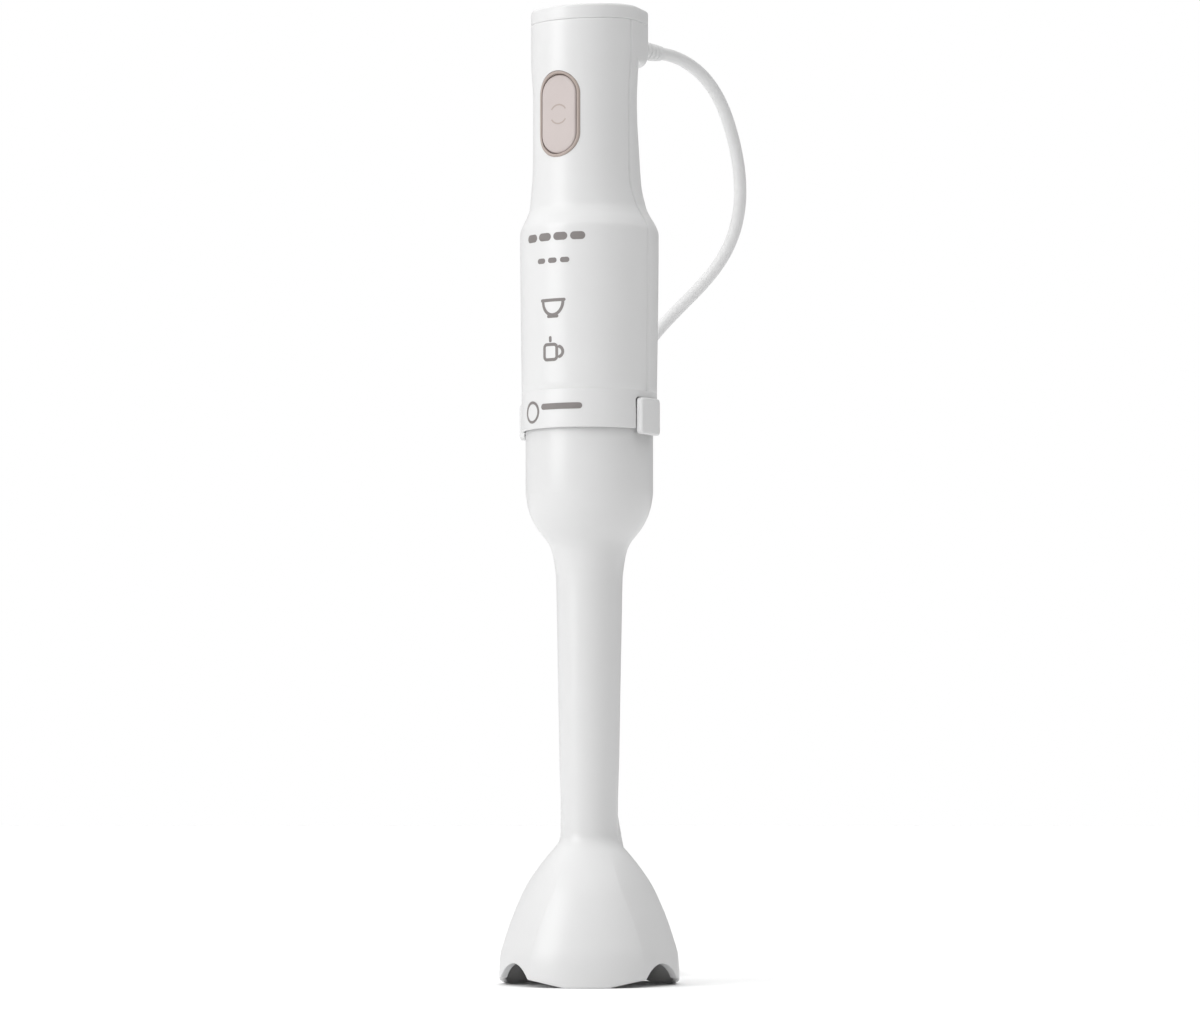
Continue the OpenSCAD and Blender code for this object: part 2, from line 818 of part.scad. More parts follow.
module plug_body() {
    color("white") plug_frame() {
        hull() {
            rotate([0, 90, 0]) cylinder(r = 3, h = 1, $fn = 32);
            translate([11, 0, 0]) rotate([0, 90, 0]) cylinder(r = 5, h = 1, $fn = 32);
        }
        hull() {
            translate([11, 0, 0]) for (s = [-1, 1]) translate([0, s * 5, 0])
                rotate([0, 90, 0]) cylinder(r = 5, h = 1, $fn = 32);
            translate([22, 0, 0]) for (s = [-1, 1]) translate([0, s * (plug_w - plug_t) / 2, 0])
                rotate([0, 90, 0]) cylinder(r = plug_t / 2, h = 14, $fn = 32);
        }
    }
}

module plug_pins() {
    color("silver") plug_frame() for (s = [-1, 1])
        translate([plug_len, s * pin_pitch / 2, 0]) rotate([0, 90, 0]) cylinder(r = pin_r, h = pin_len);
}

front_housing();
rear_housing();
top_cap();
button_frame();
collar_ring();
coupling_socket();
housing_screws();
power_switch();
circuit_board();
rectifier();
suppressor();
cord_clamp();
clamp_screws();
button_spring();
motor_plate();
motor_screws();
motor_can();
magnets();
brush_bracket();
brush_holders();
carbon_brushes();
upper_bearing();
lower_bearing();
strain_relief();
cord_inner();
cord_lead();
cord_coil();
cord_tail();
cord_tie();
plug_body();
plug_pins();
release_springs();
power_button();
switch_plunger();
release_button_left();
release_button_right();
motor_shaft();
armature_core();
armature_windings();
commutator();
cooling_fan();
drive_coupler();
bar_tube();
blade_guard();
upper_bushing();
lower_bushing();
shaft_seal();
blade_shaft();
bar_coupler();
retaining_ring();
blade();
blade_hub();
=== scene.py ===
import json
import math

import bmesh
import bpy
from mathutils import Matrix, Vector


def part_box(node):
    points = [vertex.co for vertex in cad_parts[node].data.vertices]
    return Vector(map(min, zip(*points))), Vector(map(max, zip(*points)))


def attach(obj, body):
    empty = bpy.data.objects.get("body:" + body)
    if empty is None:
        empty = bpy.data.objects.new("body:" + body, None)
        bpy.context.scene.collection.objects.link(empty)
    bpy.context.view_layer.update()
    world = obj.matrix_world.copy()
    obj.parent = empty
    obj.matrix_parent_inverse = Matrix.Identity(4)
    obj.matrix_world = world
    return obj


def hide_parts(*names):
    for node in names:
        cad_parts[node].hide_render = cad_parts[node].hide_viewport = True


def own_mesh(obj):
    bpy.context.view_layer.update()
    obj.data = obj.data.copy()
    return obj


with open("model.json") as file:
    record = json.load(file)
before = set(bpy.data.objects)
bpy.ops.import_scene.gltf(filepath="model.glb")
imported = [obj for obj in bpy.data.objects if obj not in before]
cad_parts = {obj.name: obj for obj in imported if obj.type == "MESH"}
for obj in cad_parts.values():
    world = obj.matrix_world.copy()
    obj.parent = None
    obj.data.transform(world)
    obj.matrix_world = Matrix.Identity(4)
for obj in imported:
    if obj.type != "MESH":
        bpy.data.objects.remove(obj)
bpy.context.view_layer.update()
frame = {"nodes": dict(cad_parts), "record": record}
scene = bpy.context.scene

# Sizes below are in millimetres in the frame's own axes; build() turns them into metres.
MM = 0.001


def low(node):
    """Lowest corner of a CAD node, in millimetres."""
    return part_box(node)[0] / MM


def high(node):
    """Highest corner of a CAD node, in millimetres."""
    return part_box(node)[1] / MM


def put(name, data):
    """New object in the scene."""
    made = bpy.data.objects.new(name, data)
    scene.collection.objects.link(made)
    return made


# ---- driving dimensions, from the frame ----

# The head's top slopes up to the back, ending this far in from the back edge
TILT = math.tan(math.radians(4.3))
CAP_INSET = 1.2
HANDLE_Y = -3.2
HANDLE_R = 19.8
WALL = 2.1
BODY_R = high("front_housing").x
SHELL_Z = low("front_housing").z
# Where the seam under the top cap and the cap's top, which slope up to the back, cross the drive axis
CAP_Z = high("front_housing").z - TILT * HANDLE_Y
TOP_Z = high("top_cap").z - TILT * (high("top_cap").y - CAP_INSET)
COLLAR_Z = low("collar_ring").z
COLLAR_R = high("collar_ring").x
BODY_LOW_R = BODY_R - 0.7
BELL_R = high("blade_guard").x
CUP_R = high("bar_tube").x
CUP_TOP = high("bar_tube").z
BELL_H = low("bar_tube").z
BUTTON_Z = (low("button_frame").z + high("button_frame").z) / 2
FRAME_W = high("button_frame").x - low("button_frame").x
FRAME_H = high("button_frame").z - low("button_frame").z
FRAME_PLAY = 0.1
LOBE_BACK = high("top_cap").y
CORD_Z = (low("cord_inner").z + high("cord_inner").z) / 2
CORD_D = high("cord_inner").x - low("cord_inner").x
# Parting line: on the drive axis below, on the handle's axis above
PART_LOW = 286
PART_HIGH = 303


# ---- camera: distances in metres, lens and sensor in millimetres ----

AZIMUTH = math.radians(32)
DISTANCE = 1.54
EYE_HEIGHT = 0.075
PITCH = math.radians(3.8)
YAW = math.radians(0.15)
LENS = 122
SENSOR = 36
VIEW_LIMIT = 20


def make_camera():
    """Camera in front of the object's right side, a little above the floor."""
    data = bpy.data.cameras.new("camera")
    data.lens = LENS
    data.sensor_width = SENSOR
    data.clip_end = VIEW_LIMIT
    camera = put("camera", data)
    away = Vector((math.sin(AZIMUTH), -math.cos(AZIMUTH), 0))
    camera.location = away * DISTANCE + Vector((0, 0, EYE_HEIGHT))
    camera.rotation_euler = (math.pi / 2 + PITCH, 0, AZIMUTH - YAW)
    scene.camera = camera


make_camera()


# ---- mesh helpers ----

def build(name, points, faces, sharp=35):
    """Closed mesh object from points in millimetres, with consistent normals."""
    mesh = bpy.data.meshes.new(name)
    mesh.from_pydata([Vector(p) * MM for p in points], [], faces)
    work = bmesh.new()
    work.from_mesh(mesh)
    bmesh.ops.remove_doubles(work, verts=work.verts, dist=1e-7)
    bmesh.ops.dissolve_degenerate(work, dist=1e-8, edges=work.edges)
    bmesh.ops.recalc_face_normals(work, faces=work.faces)
    work.to_mesh(mesh)
    work.free()
    piece = put(name, mesh)
    shade(piece, sharp)
    return piece


def shade(piece, sharp=35):
    """Smooth shading with creases over the given angle."""
    piece.data.polygons.foreach_set("use_smooth", [True] * len(piece.data.polygons))
    piece.data.set_sharp_from_angle(angle=math.radians(sharp))


def turn_points(count, start=0.0):
    """Angles evenly spaced round a full turn."""
    return [start + 2 * math.pi * k / count for k in range(count)]


def circle(x, z, r, n=40):
    """Circle about (x, z), as 2-D points."""
    return [(x + r * math.cos(a), z + r * math.sin(a)) for a in turn_points(n)]


def level_ring(r, z, segments):
    """Level circle about the drive axis."""
    return [(x, y, z) for x, y in circle(0, 0, r, segments)]


def loft(name, rings, sharp=35, ends=True):
    """Skin over closed rings that all have the same number of points; a one-point ring is a pole."""
    points = []
    starts = []
    for ring in rings:
        starts.append(len(points))
        points.extend(ring)
    faces = []
    for i in range(len(rings) - 1):
        a, b = rings[i], rings[i + 1]
        n = max(len(a), len(b))
        for k in range(n):
            m = (k + 1) % n
            if len(a) == 1:
                faces.append((starts[i], starts[i + 1] + m, starts[i + 1] + k))
            elif len(b) == 1:
                faces.append((starts[i] + k, starts[i] + m, starts[i + 1]))
            else:
                faces.append((starts[i] + k, starts[i] + m, starts[i + 1] + m, starts[i + 1] + k))
    if ends:
        for i in (0, len(rings) - 1):
            if len(rings[i]) > 2:
                faces.append(tuple(starts[i] + k for k in range(len(rings[i]))))
    return build(name, points, faces, sharp=sharp)


def quads(count, n, closed, start=0):
    """Faces between rings of n points each, and from the last ring to the first if closed."""
    faces = []
    for i in range(count if closed else count - 1):
        a, b = start + i * n, start + (i + 1) % count * n
        faces += [(a + k, a + (k + 1) % n, b + (k + 1) % n, b + k) for k in range(n)]
    return faces


def loop_loft(name, rings, sharp=35):
    """Skin over closed rings whose last joins the first, as round a torus."""
    points = [p for ring in rings for p in ring]
    return build(name, points, quads(len(rings), len(rings[0]), closed=True), sharp=sharp)


def revolve(name, outline, segments):
    """Ring turned about the drive axis from a closed outline of (radius, height)."""
    return loop_loft(name, [level_ring(r, z, segments) for r, z in outline])


def revolve_y(name, outline, centre, segments=64):
    """Solid turned about a line along Y through (x, z); the outline of (radius, y) ends on that line."""
    rings = []
    for r, y in outline:
        ring = circle(*centre, r, segments) if r else [centre]
        rings.append([(x, y, z) for x, z in ring])
    return loft(name, rings, ends=False)


def rounded(points, radii, steps=6):
    """Closed 2-D outline with each corner replaced by an arc of the given radius (0 keeps the corner)."""
    out = []
    n = len(points)
    for i, p in enumerate(points):
        r = radii[i] if isinstance(radii, (list, tuple)) else radii
        if r <= 0:
            out.append(tuple(p))
            continue
        here = Vector(p)
        before = Vector(points[i - 1]) - here
        after = Vector(points[(i + 1) % n]) - here
        angle = before.angle(after)
        if angle > math.pi - 0.02:
            out.append(tuple(p))
            continue
        reach = min(r / math.tan(angle / 2), before.length * 0.49, after.length * 0.49)
        radius = reach * math.tan(angle / 2)
        centre = here + (before.normalized() + after.normalized()).normalized() * radius / math.sin(angle / 2)
        first = here + before.normalized() * reach - centre
        last = here + after.normalized() * reach - centre
        sweep = first.angle_signed(last)
        for k in range(steps + 1):
            turn = Matrix.Rotation(-sweep * k / steps, 2)
            out.append(tuple(centre + turn @ first))
    return out


def curve_through(knots, x):
    """Monotone cubic value at x through knots of (x, value)."""
    if x <= knots[0][0]:
        return knots[0][1]
    if x >= knots[-1][0]:
        return knots[-1][1]
    n = len(knots)
    slopes = [(knots[i + 1][1] - knots[i][1]) / (knots[i + 1][0] - knots[i][0]) for i in range(n - 1)]
    tangents = [slopes[0]] + [
        0 if slopes[i - 1] * slopes[i] <= 0
        else 2 * slopes[i - 1] * slopes[i] / (slopes[i - 1] + slopes[i])
        for i in range(1, n - 1)] + [slopes[-1]]
    for i in range(n - 1):
        if x <= knots[i + 1][0]:
            h = knots[i + 1][0] - knots[i][0]
            t = (x - knots[i][0]) / h
            return (knots[i][1] * (1 + 2 * t) * (1 - t) ** 2 + tangents[i] * h * t * (1 - t) ** 2
                    + knots[i + 1][1] * t * t * (3 - 2 * t) + tangents[i + 1] * h * t * t * (t - 1))


def smoothstep(a, b, x):
    """Smooth rise from 0 at a to 1 at b."""
    t = min(max((x - a) / (b - a), 0), 1)
    return t * t * (3 - 2 * t)


def cut(piece, *tools, union=False):
    """Takes the tools' solids out of the piece (or adds them), and removes the tools."""
    for tool in tools:
        modifier = piece.modifiers.new("cut", "BOOLEAN")
        modifier.operation = "UNION" if union else "DIFFERENCE"
        modifier.solver = "EXACT"
        modifier.object = tool
    bpy.context.view_layer.update()
    result = bpy.data.meshes.new_from_object(piece.evaluated_get(bpy.context.evaluated_depsgraph_get()))
    piece.modifiers.clear()
    piece.data = result
    for tool in tools:
        bpy.data.objects.remove(tool)
    shade(piece)


def soften(piece, width, segments=2, angle=40):
    """Rounds the piece's sharp edges."""
    modifier = piece.modifiers.new("soften", "BEVEL")
    modifier.width = width * MM
    modifier.segments = segments
    modifier.limit_method = "ANGLE"
    modifier.angle_limit = math.radians(angle)
    modifier.harden_normals = True


def rounding(radius, steps):
    """Steps of a rounded edge from the side to the face: how far in, and how far below the face."""
    turns = [math.pi / 2 * k / steps for k in range(steps + 1)]
    return [(radius * (1 - math.cos(a)), radius * (1 - math.sin(a))) for a in turns]


def stadium(w, h, steps=24):
    """Upright outline with round ends, centred, as (x, z) points."""
    r = w / 2
    up = (h - w) / 2
    top = [(r * math.cos(a), up + r * math.sin(a))
           for a in (math.pi * k / steps for k in range(steps + 1))]
    return top + [(-x, -z) for x, z in top]


def prism_y(name, outline, y0, y1):
    """Straight solid along Y over an (x, z) outline."""
    rings = [[(x, y, z) for x, z in outline] for y in (y0, y1)]
    return loft(name, rings)


# ---- cord ----

# Route from the strain relief's tip down to the coil, and from the coil to the plug
LEAD = [
    (0, 52, 362), (0, 60, 362.6), (0, 70, 362), (0, 80, 360.2), (0, 90, 356.6),
    (0, 98.6, 351), (0, 105.4, 343.6), (0, 111, 334), (0, 115, 324), (-1, 118, 311),
    (-5, 119.5, 298), (-12, 119, 286), (-22, 116, 275), (-33, 111.5, 264), (-42, 106, 251),
    (-48, 100, 236), (-51, 95, 219), (-52, 92, 200), (-52, 91, 165), (-52, 92, 125),
    (-52, 94, 95), (-51.5, 97, 70), (-50, 101, 50), (-47.5, 104.2, 34), (-46, 104.9, 26.5),
    (-43, 104.9, 18.8), (-38.2, 103.9, 12.2), (-31.2, 101.5, 6.6), (-25.1, 97.5, 3.7),
    (-19.6, 91.9, 2.6), (-15.5, 84.7, 2.6), (-13, 80, 2.6)]
TAIL = [
    (-66, 47, 7.5), (-69, 51.5, 7.5), (-72, 59, 7.4), (-73, 67.5, 7.1),
    (-74, 76.5, 6.9), (-75, 85, 6.9), (-78, 92.8, 6.9)]
# The coil lies behind the object, on the line at this angle from +X
STOW = math.radians(122)
COIL_DISTANCE = 74.8
COIL_OUT = 31.25
COIL_IN = 20
LAYER_TURNS = 2.25
# Points before and after the coil's middle over which the cord climbs to the upper layer
CLIMB = 5
POINTS_PER_SPAN = 6
EVENING_ROUNDS = 24


def coil_route():
    """Two layers of turns, inwards on the floor and outwards on top of them."""
    centre = COIL_DISTANCE * Vector((math.cos(STOW), math.sin(STOW), 0))
    per_turn = 24
    steps = int(LAYER_TURNS * per_turn)
    route = []
    for k in range(1, 2 * steps):
        turn = k / per_turn
        inwards = min(k, 2 * steps - k) / steps
        r = COIL_OUT + (COIL_IN - COIL_OUT) * inwards
        angle = STOW - math.pi / 2 - 2 * math.pi * turn
        rise = smoothstep(steps - CLIMB, steps + CLIMB, k)
        height = CORD_D / 2 + 0.1 + CORD_D * rise
        route.append(tuple(centre + Vector((r * math.cos(angle), r * math.sin(angle), height))))
    return route


def spline_points(route, steps):
    """Points along a smooth curve through the route."""
    pts = [Vector(p) for p in route]
    out = []
    for i in range(len(pts) - 1):
        p0, p1, p2, p3 = pts[max(i - 1, 0)], pts[i], pts[i + 1], pts[min(i + 2, len(pts) - 1)]
        for k in range(steps):
            t = k / steps
            out.append(0.5 * (2 * p1 + (p2 - p0) * t + (2 * p0 - 5 * p1 + 4 * p2 - p3) * t * t
                              + (3 * p1 - p0 - 3 * p2 + p3) * t * t * t))
    out.append(pts[-1])
    return out


def evened(points, rounds):
    """Same line with its small unevenness averaged out."""
    for _ in range(rounds):
        points = ([points[0]] + [(a + 2 * b + c) / 4 for a, b, c in zip(points, points[1:], points[2:])]
                  + [points[-1]])
    return points


def length_of(points):
    """Length of the line through the points."""
    return sum((b - a).length for a, b in zip(points, points[1:]))


def make_cord():
    """The cord's curve, the point where it leaves the head, and its length in metres."""
    exit_point = (0, LOBE_BACK, CORD_Z)
    start = [(0, LOBE_BACK + 0.5, CORD_Z), (0, LOBE_BACK + 8, CORD_Z), (0, 44, CORD_Z + 0.3)]
    route = start + LEAD + coil_route() + TAIL
    points = evened(spline_points(route, POINTS_PER_SPAN), EVENING_ROUNDS)
    data = bpy.data.curves.new("cord", "CURVE")
    data.dimensions = "3D"
    data.bevel_depth = CORD_D / 2 * MM
    data.bevel_resolution = 5
    data.use_fill_caps = True
    spline = data.splines.new("POLY")
    spline.points.add(len(points) - 1)
    for knot, p in zip(spline.points, points):
        knot.co = (*(p * MM), 1)
    spline.use_smooth = True
    return put("cord", data), exit_point, length_of(points) * MM


# ---- housing ----

def part_y(z):
    """Where the parting line runs, by height."""
    return HANDLE_Y * smoothstep(PART_LOW, PART_HIGH, z)


# Half width and depths of the housing by height, from the collar over the shoulder to the handle
HALF_WIDTH = [(SHELL_Z, BODY_LOW_R), (284, BODY_R), (287.5, BODY_R - 1.2), (290.6, BODY_R - 2.9),
              (293.6, BODY_R - 4.2), (296.6, 21.5), (300, 20.8), (304, 20.2), (309, 19.9), (315, HANDLE_R)]
FRONT_Y = [(SHELL_Z, -BODY_LOW_R), (284, -BODY_R), (287.5, -BODY_R + 1.1), (290.6, -BODY_R + 2.5),
           (293.6, -BODY_R + 3.4), (296.6, HANDLE_Y - HANDLE_R + 0.1), (300, HANDLE_Y - HANDLE_R)]
BACK_Y = [(SHELL_Z, BODY_LOW_R), (284, BODY_R), (287.5, BODY_R - 1.2), (290.6, BODY_R - 2.9),
          (293.6, BODY_R - 4.2), (296.6, 21.8), (300, 21.4), (304, 21.1), (310, 20.4), (318, 19),
          (326, 17.3), (333, 16.6)]
HEAD_FLARE = 0.8
FLARE_LOW = 335
FLARE_HIGH = 352
LOBE_R = 15.7
LOBE_Y = LOBE_BACK - LOBE_R
LOBE_Z = 350.5
# Share of the way from the handle's outline to the lobe's, by height: a flat underside with a rounded lip
LOBE_RISE = [(LOBE_Z + d, share) for d, share in (
    (-2.5, 0), (-1.2, 0.02), (-0.4, 0.08), (-0.1, 0.2), (0, 0.35), (0.02, 0.54), (0.15, 0.64), (0.4, 0.71),
    (0.9, 0.79), (1.6, 0.865), (2.4, 0.925), (3.4, 0.97), (5, 1))]


def head_outline(psi, inset=0):
    """Radius, at an angle from +Y about the handle's axis, of the head's circle joined to the lobe's."""
    r1 = HANDLE_R + HEAD_FLARE - inset
    r2 = LOBE_R - inset
    d = LOBE_Y - HANDLE_Y
    alpha = math.acos((HANDLE_R + HEAD_FLARE - LOBE_R) / d)
    psi = abs(psi)
    if psi >= alpha:
        return r1
    if psi >= math.atan2(r2 * math.sin(alpha), d + r2 * math.cos(alpha)):
        return r1 / math.cos(psi - alpha)
    return d * math.cos(psi) + math.sqrt(r2 * r2 - (d * math.sin(psi)) ** 2)


def ellipse_radius(angle, across, along):
    """Radius of an ellipse at an angle from the axis that along lies on."""
    return 1 / math.hypot(math.sin(angle) / across, math.cos(angle) / along)


def front_radius(phi, z, inset=0):
    """Front shell's radius about the parting line's centre, at an angle from -Y."""
    flare = HEAD_FLARE * smoothstep(FLARE_LOW, FLARE_HIGH, z)
    across = curve_through(HALF_WIDTH, z) + flare
    along = part_y(z) - curve_through(FRONT_Y, z) + flare
    return ellipse_radius(phi, across, along) - inset


def back_radius(psi, z, inset=0):
    """Rear shell's radius about the parting line's centre, at an angle from +Y."""
    flare = HEAD_FLARE * smoothstep(FLARE_LOW, FLARE_HIGH, z)
    across = curve_through(HALF_WIDTH, z) + flare
    along = curve_through(BACK_Y, z) - part_y(z)
    plain = ellipse_radius(psi, across, along) - inset
    lobe = curve_through(LOBE_RISE, z - inset)
    if lobe <= 0:
        return plain
    return plain + (max(head_outline(psi, inset), plain) - plain) * lobe


# Groove along the parting line: (distance from it, depth), and the radius that turns distance into angle
GROOVE = [(0, 0.75), (0.25, 0.68), (0.5, 0.42), (0.75, 0.16), (1, 0.03), (1.2, 0)]
GROOVE_AT_R = 22


def half_columns(columns=56):
    """Angles and groove depths from one parting edge to the other."""
    edge = [(math.pi / 2 - d / GROOVE_AT_R, depth) for d, depth in GROOVE]
    limit = edge[-1][0]
    middle = [(limit - 2 * limit * (k + 1) / columns, 0) for k in range(columns - 1)]
    return edge + middle + [(-a, depth) for a, depth in reversed(edge)]


def shell_rings(radius_at, sign, heights):
    """Rings of a half shell: the outside from one edge to the other, and back along the inside."""
    columns = half_columns()
    rings = []
    for z, inset in heights:
        centre = part_y(z)
        slope = TILT * smoothstep(LOBE_Z + 5, CAP_Z - 1, z)
        outer = []
        inner = []
        for angle, depth in columns:
            skin = radius_at(angle, z) - depth - inset
            for ring, r in ((outer, skin), (inner, radius_at(angle, z, WALL))):
                y = centre + sign * r * math.cos(angle)
                ring.append((r * math.sin(angle), y, z + slope * y))
        rings.append(outer + inner[::-1])
    return rings


def shell_heights():
    """Heights of the shells' rings, closer where the form changes, with rounded ends."""
    ends = 0.2
    rows = [(SHELL_Z, 0.03), (SHELL_Z + 0.05, 0)]
    rows += [(z, 0) for z in range(226, 282, 4)]
    rows += [(282 + 0.75 * k, 0) for k in range(32)]
    rows += [(306 + 2 * k, 0) for k in range(19)]
    rows += [(344.5, 0), (346.5, 0)]
    rows += [(LOBE_Z + d, 0) for d in (-2.5, -1.8, -1.2, -0.8, -0.4, -0.2, -0.1, -0.05, 0, 0.02, 0.08,
                                       0.15, 0.26, 0.4, 0.6, 0.9, 1.2, 1.6, 2, 2.1, 2.25, 2.4, 2.6, 2.8,
                                       3.1, 3.4, 3.8, 4.3, 5, 6, 7.2, 8.4, 9.6, 10.8, 12, 13, 13.6)]
    rows += [(CAP_Z - ends, 0), (CAP_Z - 0.08, ends * 0.4), (CAP_Z, ends)]
    return rows


def make_front_shell():
    """Front half of the housing, with the opening for the button."""
    shell = loft("front_shell", shell_rings(front_radius, -1, shell_heights()))
    opening = [(x, BUTTON_Z + z) for x, z in stadium(FRAME_W + FRAME_PLAY, FRAME_H + FRAME_PLAY)]
    cut(shell, prism_y("opening", opening, -30, -10))
    return shell


# Vents and screw holes in the rear shell
VENT_ROWS = 6
VENT_PITCH = 4
VENT_Z = 255.8
VENT_H = 1.6
VENT_W = 9
VENT_TURN = math.radians(13)
SCREW_X = 10
SCREW_Z = 306
BOSS_R = 3.6
SCREW_HEAD_R = 3
SCREW_R = 1.6
SCREW_SEAT_Y = 10
RELIEF_HOLE_R = 4.6


def vent_cutters():
    """Two columns of slots, each turned to face outwards."""
    tools = []
    flat = stadium(VENT_H, VENT_W, 8)
    for side in (-1, 1):
        turn = Matrix.Rotation(side * VENT_TURN, 3, "Z")
        for row in range(VENT_ROWS):
            z = VENT_Z + VENT_PITCH * row
            rings = [[tuple(turn @ Vector((b, y, a + z))) for a, b in flat]
                     for y in (BODY_R - 4, BODY_R + 4)]
            tools.append(loft("vent", rings))
    return tools


def screw_cutters():
    """Stepped holes for the two housing screws."""
    tools = []
    for side in (-1, 1):
        for r, y0, y1 in ((SCREW_HEAD_R, SCREW_SEAT_Y, 30), (SCREW_R, -10, 14)):
            tools.append(prism_y("screw_hole", circle(side * SCREW_X, SCREW_Z, r, 48), y0, y1))
    return tools


def make_rear_shell():
    """Rear half of the housing, with vents, screw bosses and the hole for the cord."""
    shell = loft("rear_shell", shell_rings(back_radius, 1, shell_heights()))
    boss = [(0, -2.9), (BOSS_R, -2.9), (BOSS_R, 14.2), (0, 14.2)]
    bosses = [revolve_y("boss", boss, (side * SCREW_X, SCREW_Z)) for side in (-1, 1)]
    cut(shell, *bosses, union=True)
    cut(shell, *vent_cutters(), *screw_cutters())
    relief = [(0, 18), (RELIEF_HOLE_R, 18), (RELIEF_HOLE_R, 40), (0, 40)]
    cut(shell, revolve_y("relief_hole", relief, (0, CORD_Z)))
    return shell


CAP_EDGE = 1.3
CAP_DOME = 0.3


def head_ring(inset, z, segments=144):
    """The head's whole outline, inset, on the sloping plane that crosses the drive axis at z."""
    ring = []
    for psi in turn_points(segments, -math.pi):
        r = head_outline(psi, inset)
        y = HANDLE_Y + r * math.cos(psi)
        ring.append((r * math.sin(psi), y, z + TILT * y))
    return ring


def make_top_cap():
    """Lid with a skirt that sits inside the shells, a rounded edge and a faint dome."""
    rim = TOP_Z - CAP_DOME
    skirt = WALL + 0.15
    inside = skirt + 1.6
    mid_y = (LOBE_BACK + HANDLE_Y - HANDLE_R) / 2
    rings = [[(0, mid_y, rim - 2 + TILT * mid_y)]]
    rings += [head_ring(inset, z) for inset, z in (
        (inside + 4, rim - 2), (inside, rim - 2.4), (inside, CAP_Z - 1.8), (skirt, CAP_Z - 1.8),
        (skirt, CAP_Z + 0.04), (0.2, CAP_Z + 0.04), (0.08, CAP_Z + 0.1), (0, CAP_Z + 0.24), (0, CAP_Z + 1))]
    rings += [head_ring(inset, rim - drop) for inset, drop in rounding(CAP_EDGE, 8)]
    last = head_ring(CAP_EDGE, rim)
    for share in (0.9, 0.75, 0.55, 0.3, 0.1):
        lift = CAP_DOME * (1 - share ** 2)
        inner = [(x * share, mid_y + (y - mid_y) * share) for x, y, _ in last]
        rings.append([(x, y, rim + lift + TILT * y) for x, y in inner])
    rings.append([(0, mid_y, TOP_Z + TILT * mid_y)])
    return loft("head_cap", rings, ends=False)


# ---- button ----

FRAME_RIM = 1.1
BUTTON_GAP = 0.25
ROD_R = 2.2
# The button's face: how far it lies behind the handle's front, its curve, and the dish for the thumb
FACE_SINK = 0.55
FACE_CURVE = 0.0075
DISH_DEPTH = 0.5
DISH_W = 5.5
DISH_H = 8


def handle_y(x):
    """Front surface of the handle at the button's height."""
    return HANDLE_Y - math.sqrt(HANDLE_R ** 2 - x * x)


def make_button_frame():
    """Ring that follows the handle's curve, with a rounded lip that stands a little proud."""
    half = FRAME_RIM / 2
    rings = []
    section = [(0, 2.3), (0, -0.15), (0.15, -0.32), (half, -0.42), (FRAME_RIM - 0.15, -0.32),
               (FRAME_RIM, -0.15), (FRAME_RIM, 2.3)]
    for inset, back in section:
        outline = stadium(FRAME_W - 2 * inset, FRAME_H - 2 * inset)
        rings.append([(x, handle_y(x) + back, BUTTON_Z + z) for x, z in outline])
    return loop_loft("button_surround", rings, sharp=50)


def button_face_y(x, z):
    """Front of the button: flatter than the handle, with a shallow thumb dish."""
    flat = HANDLE_Y - HANDLE_R + FACE_SINK + FACE_CURVE * x * x
    dish = DISH_DEPTH * math.exp(-((x / DISH_W) ** 2 + (z / DISH_H) ** 2))
    return flat + dish


def make_button():
    """Dished button with a rounded edge, and the rod behind it that works the switch."""
    w = FRAME_W - 2 * (FRAME_RIM + BUTTON_GAP)
    h = FRAME_H - 2 * (FRAME_RIM + BUTTON_GAP)
    edge = 0.7
    back = handle_y(w / 2) + 3
    tip = low("switch_plunger").y - 0.1
    rings = [[(0, tip, BUTTON_Z)]]
    for y, r in ((tip, ROD_R - 0.3), (tip - 0.3, ROD_R), (back, ROD_R)):
        rings.append([(x, y, BUTTON_Z + z) for x, z in stadium(2 * r, 2 * r + 0.01)])
    rings.append([(x, back, BUTTON_Z + z) for x, z in stadium(w, h)])
    for inset, drop in rounding(edge, 5):
        rings.append([(x, button_face_y(x, z) + drop, BUTTON_Z + z)
                      for x, z in stadium(w - 2 * inset, h - 2 * inset)])
    wide, tall = w - 2 * edge, h - 2 * edge
    for share in (0.94, 0.86, 0.76, 0.65, 0.54, 0.43, 0.32, 0.21, 0.1):
        rings.append([(x, button_face_y(x, z), BUTTON_Z + z)
                      for x, z in ((px * share, pz * share) for px, pz in stadium(wide, tall))])
    rings.append([(0, button_face_y(0, 0), BUTTON_Z)])
    return loft("thumb_button", rings, ends=False, sharp=50)


def make_spring():
    """Return spring behind the button, wound as a fixed helix."""
    y0, y1 = low("button_spring").y, high("button_spring").y
    wire = 0.29
    inset = 0.3
    r = high("button_spring").x - inset
    turns, per_turn = 6, 32
    rings = []
    for k in range(turns * per_turn + 1):
        a = 2 * math.pi * k / per_turn
        y = y1 - inset - (y1 - y0 - 2 * inset) * k / (turns * per_turn)
        rings.append([((r + wire * math.cos(b)) * math.cos(a), y - wire * math.sin(b),
                       BUTTON_Z + (r + wire * math.cos(b)) * math.sin(a)) for b in turn_points(10)])
    return loft("return_spring", rings, sharp=60)


# ---- collar and release buttons ----

RELEASE_W = high("release_button_right").y - low("release_button_right").y
RELEASE_LOW = low("release_button_right").z
RELEASE_HIGH = high("release_button_right").z
RELEASE_R = high("release_button_right").x
RELEASE_GAP = 0.3


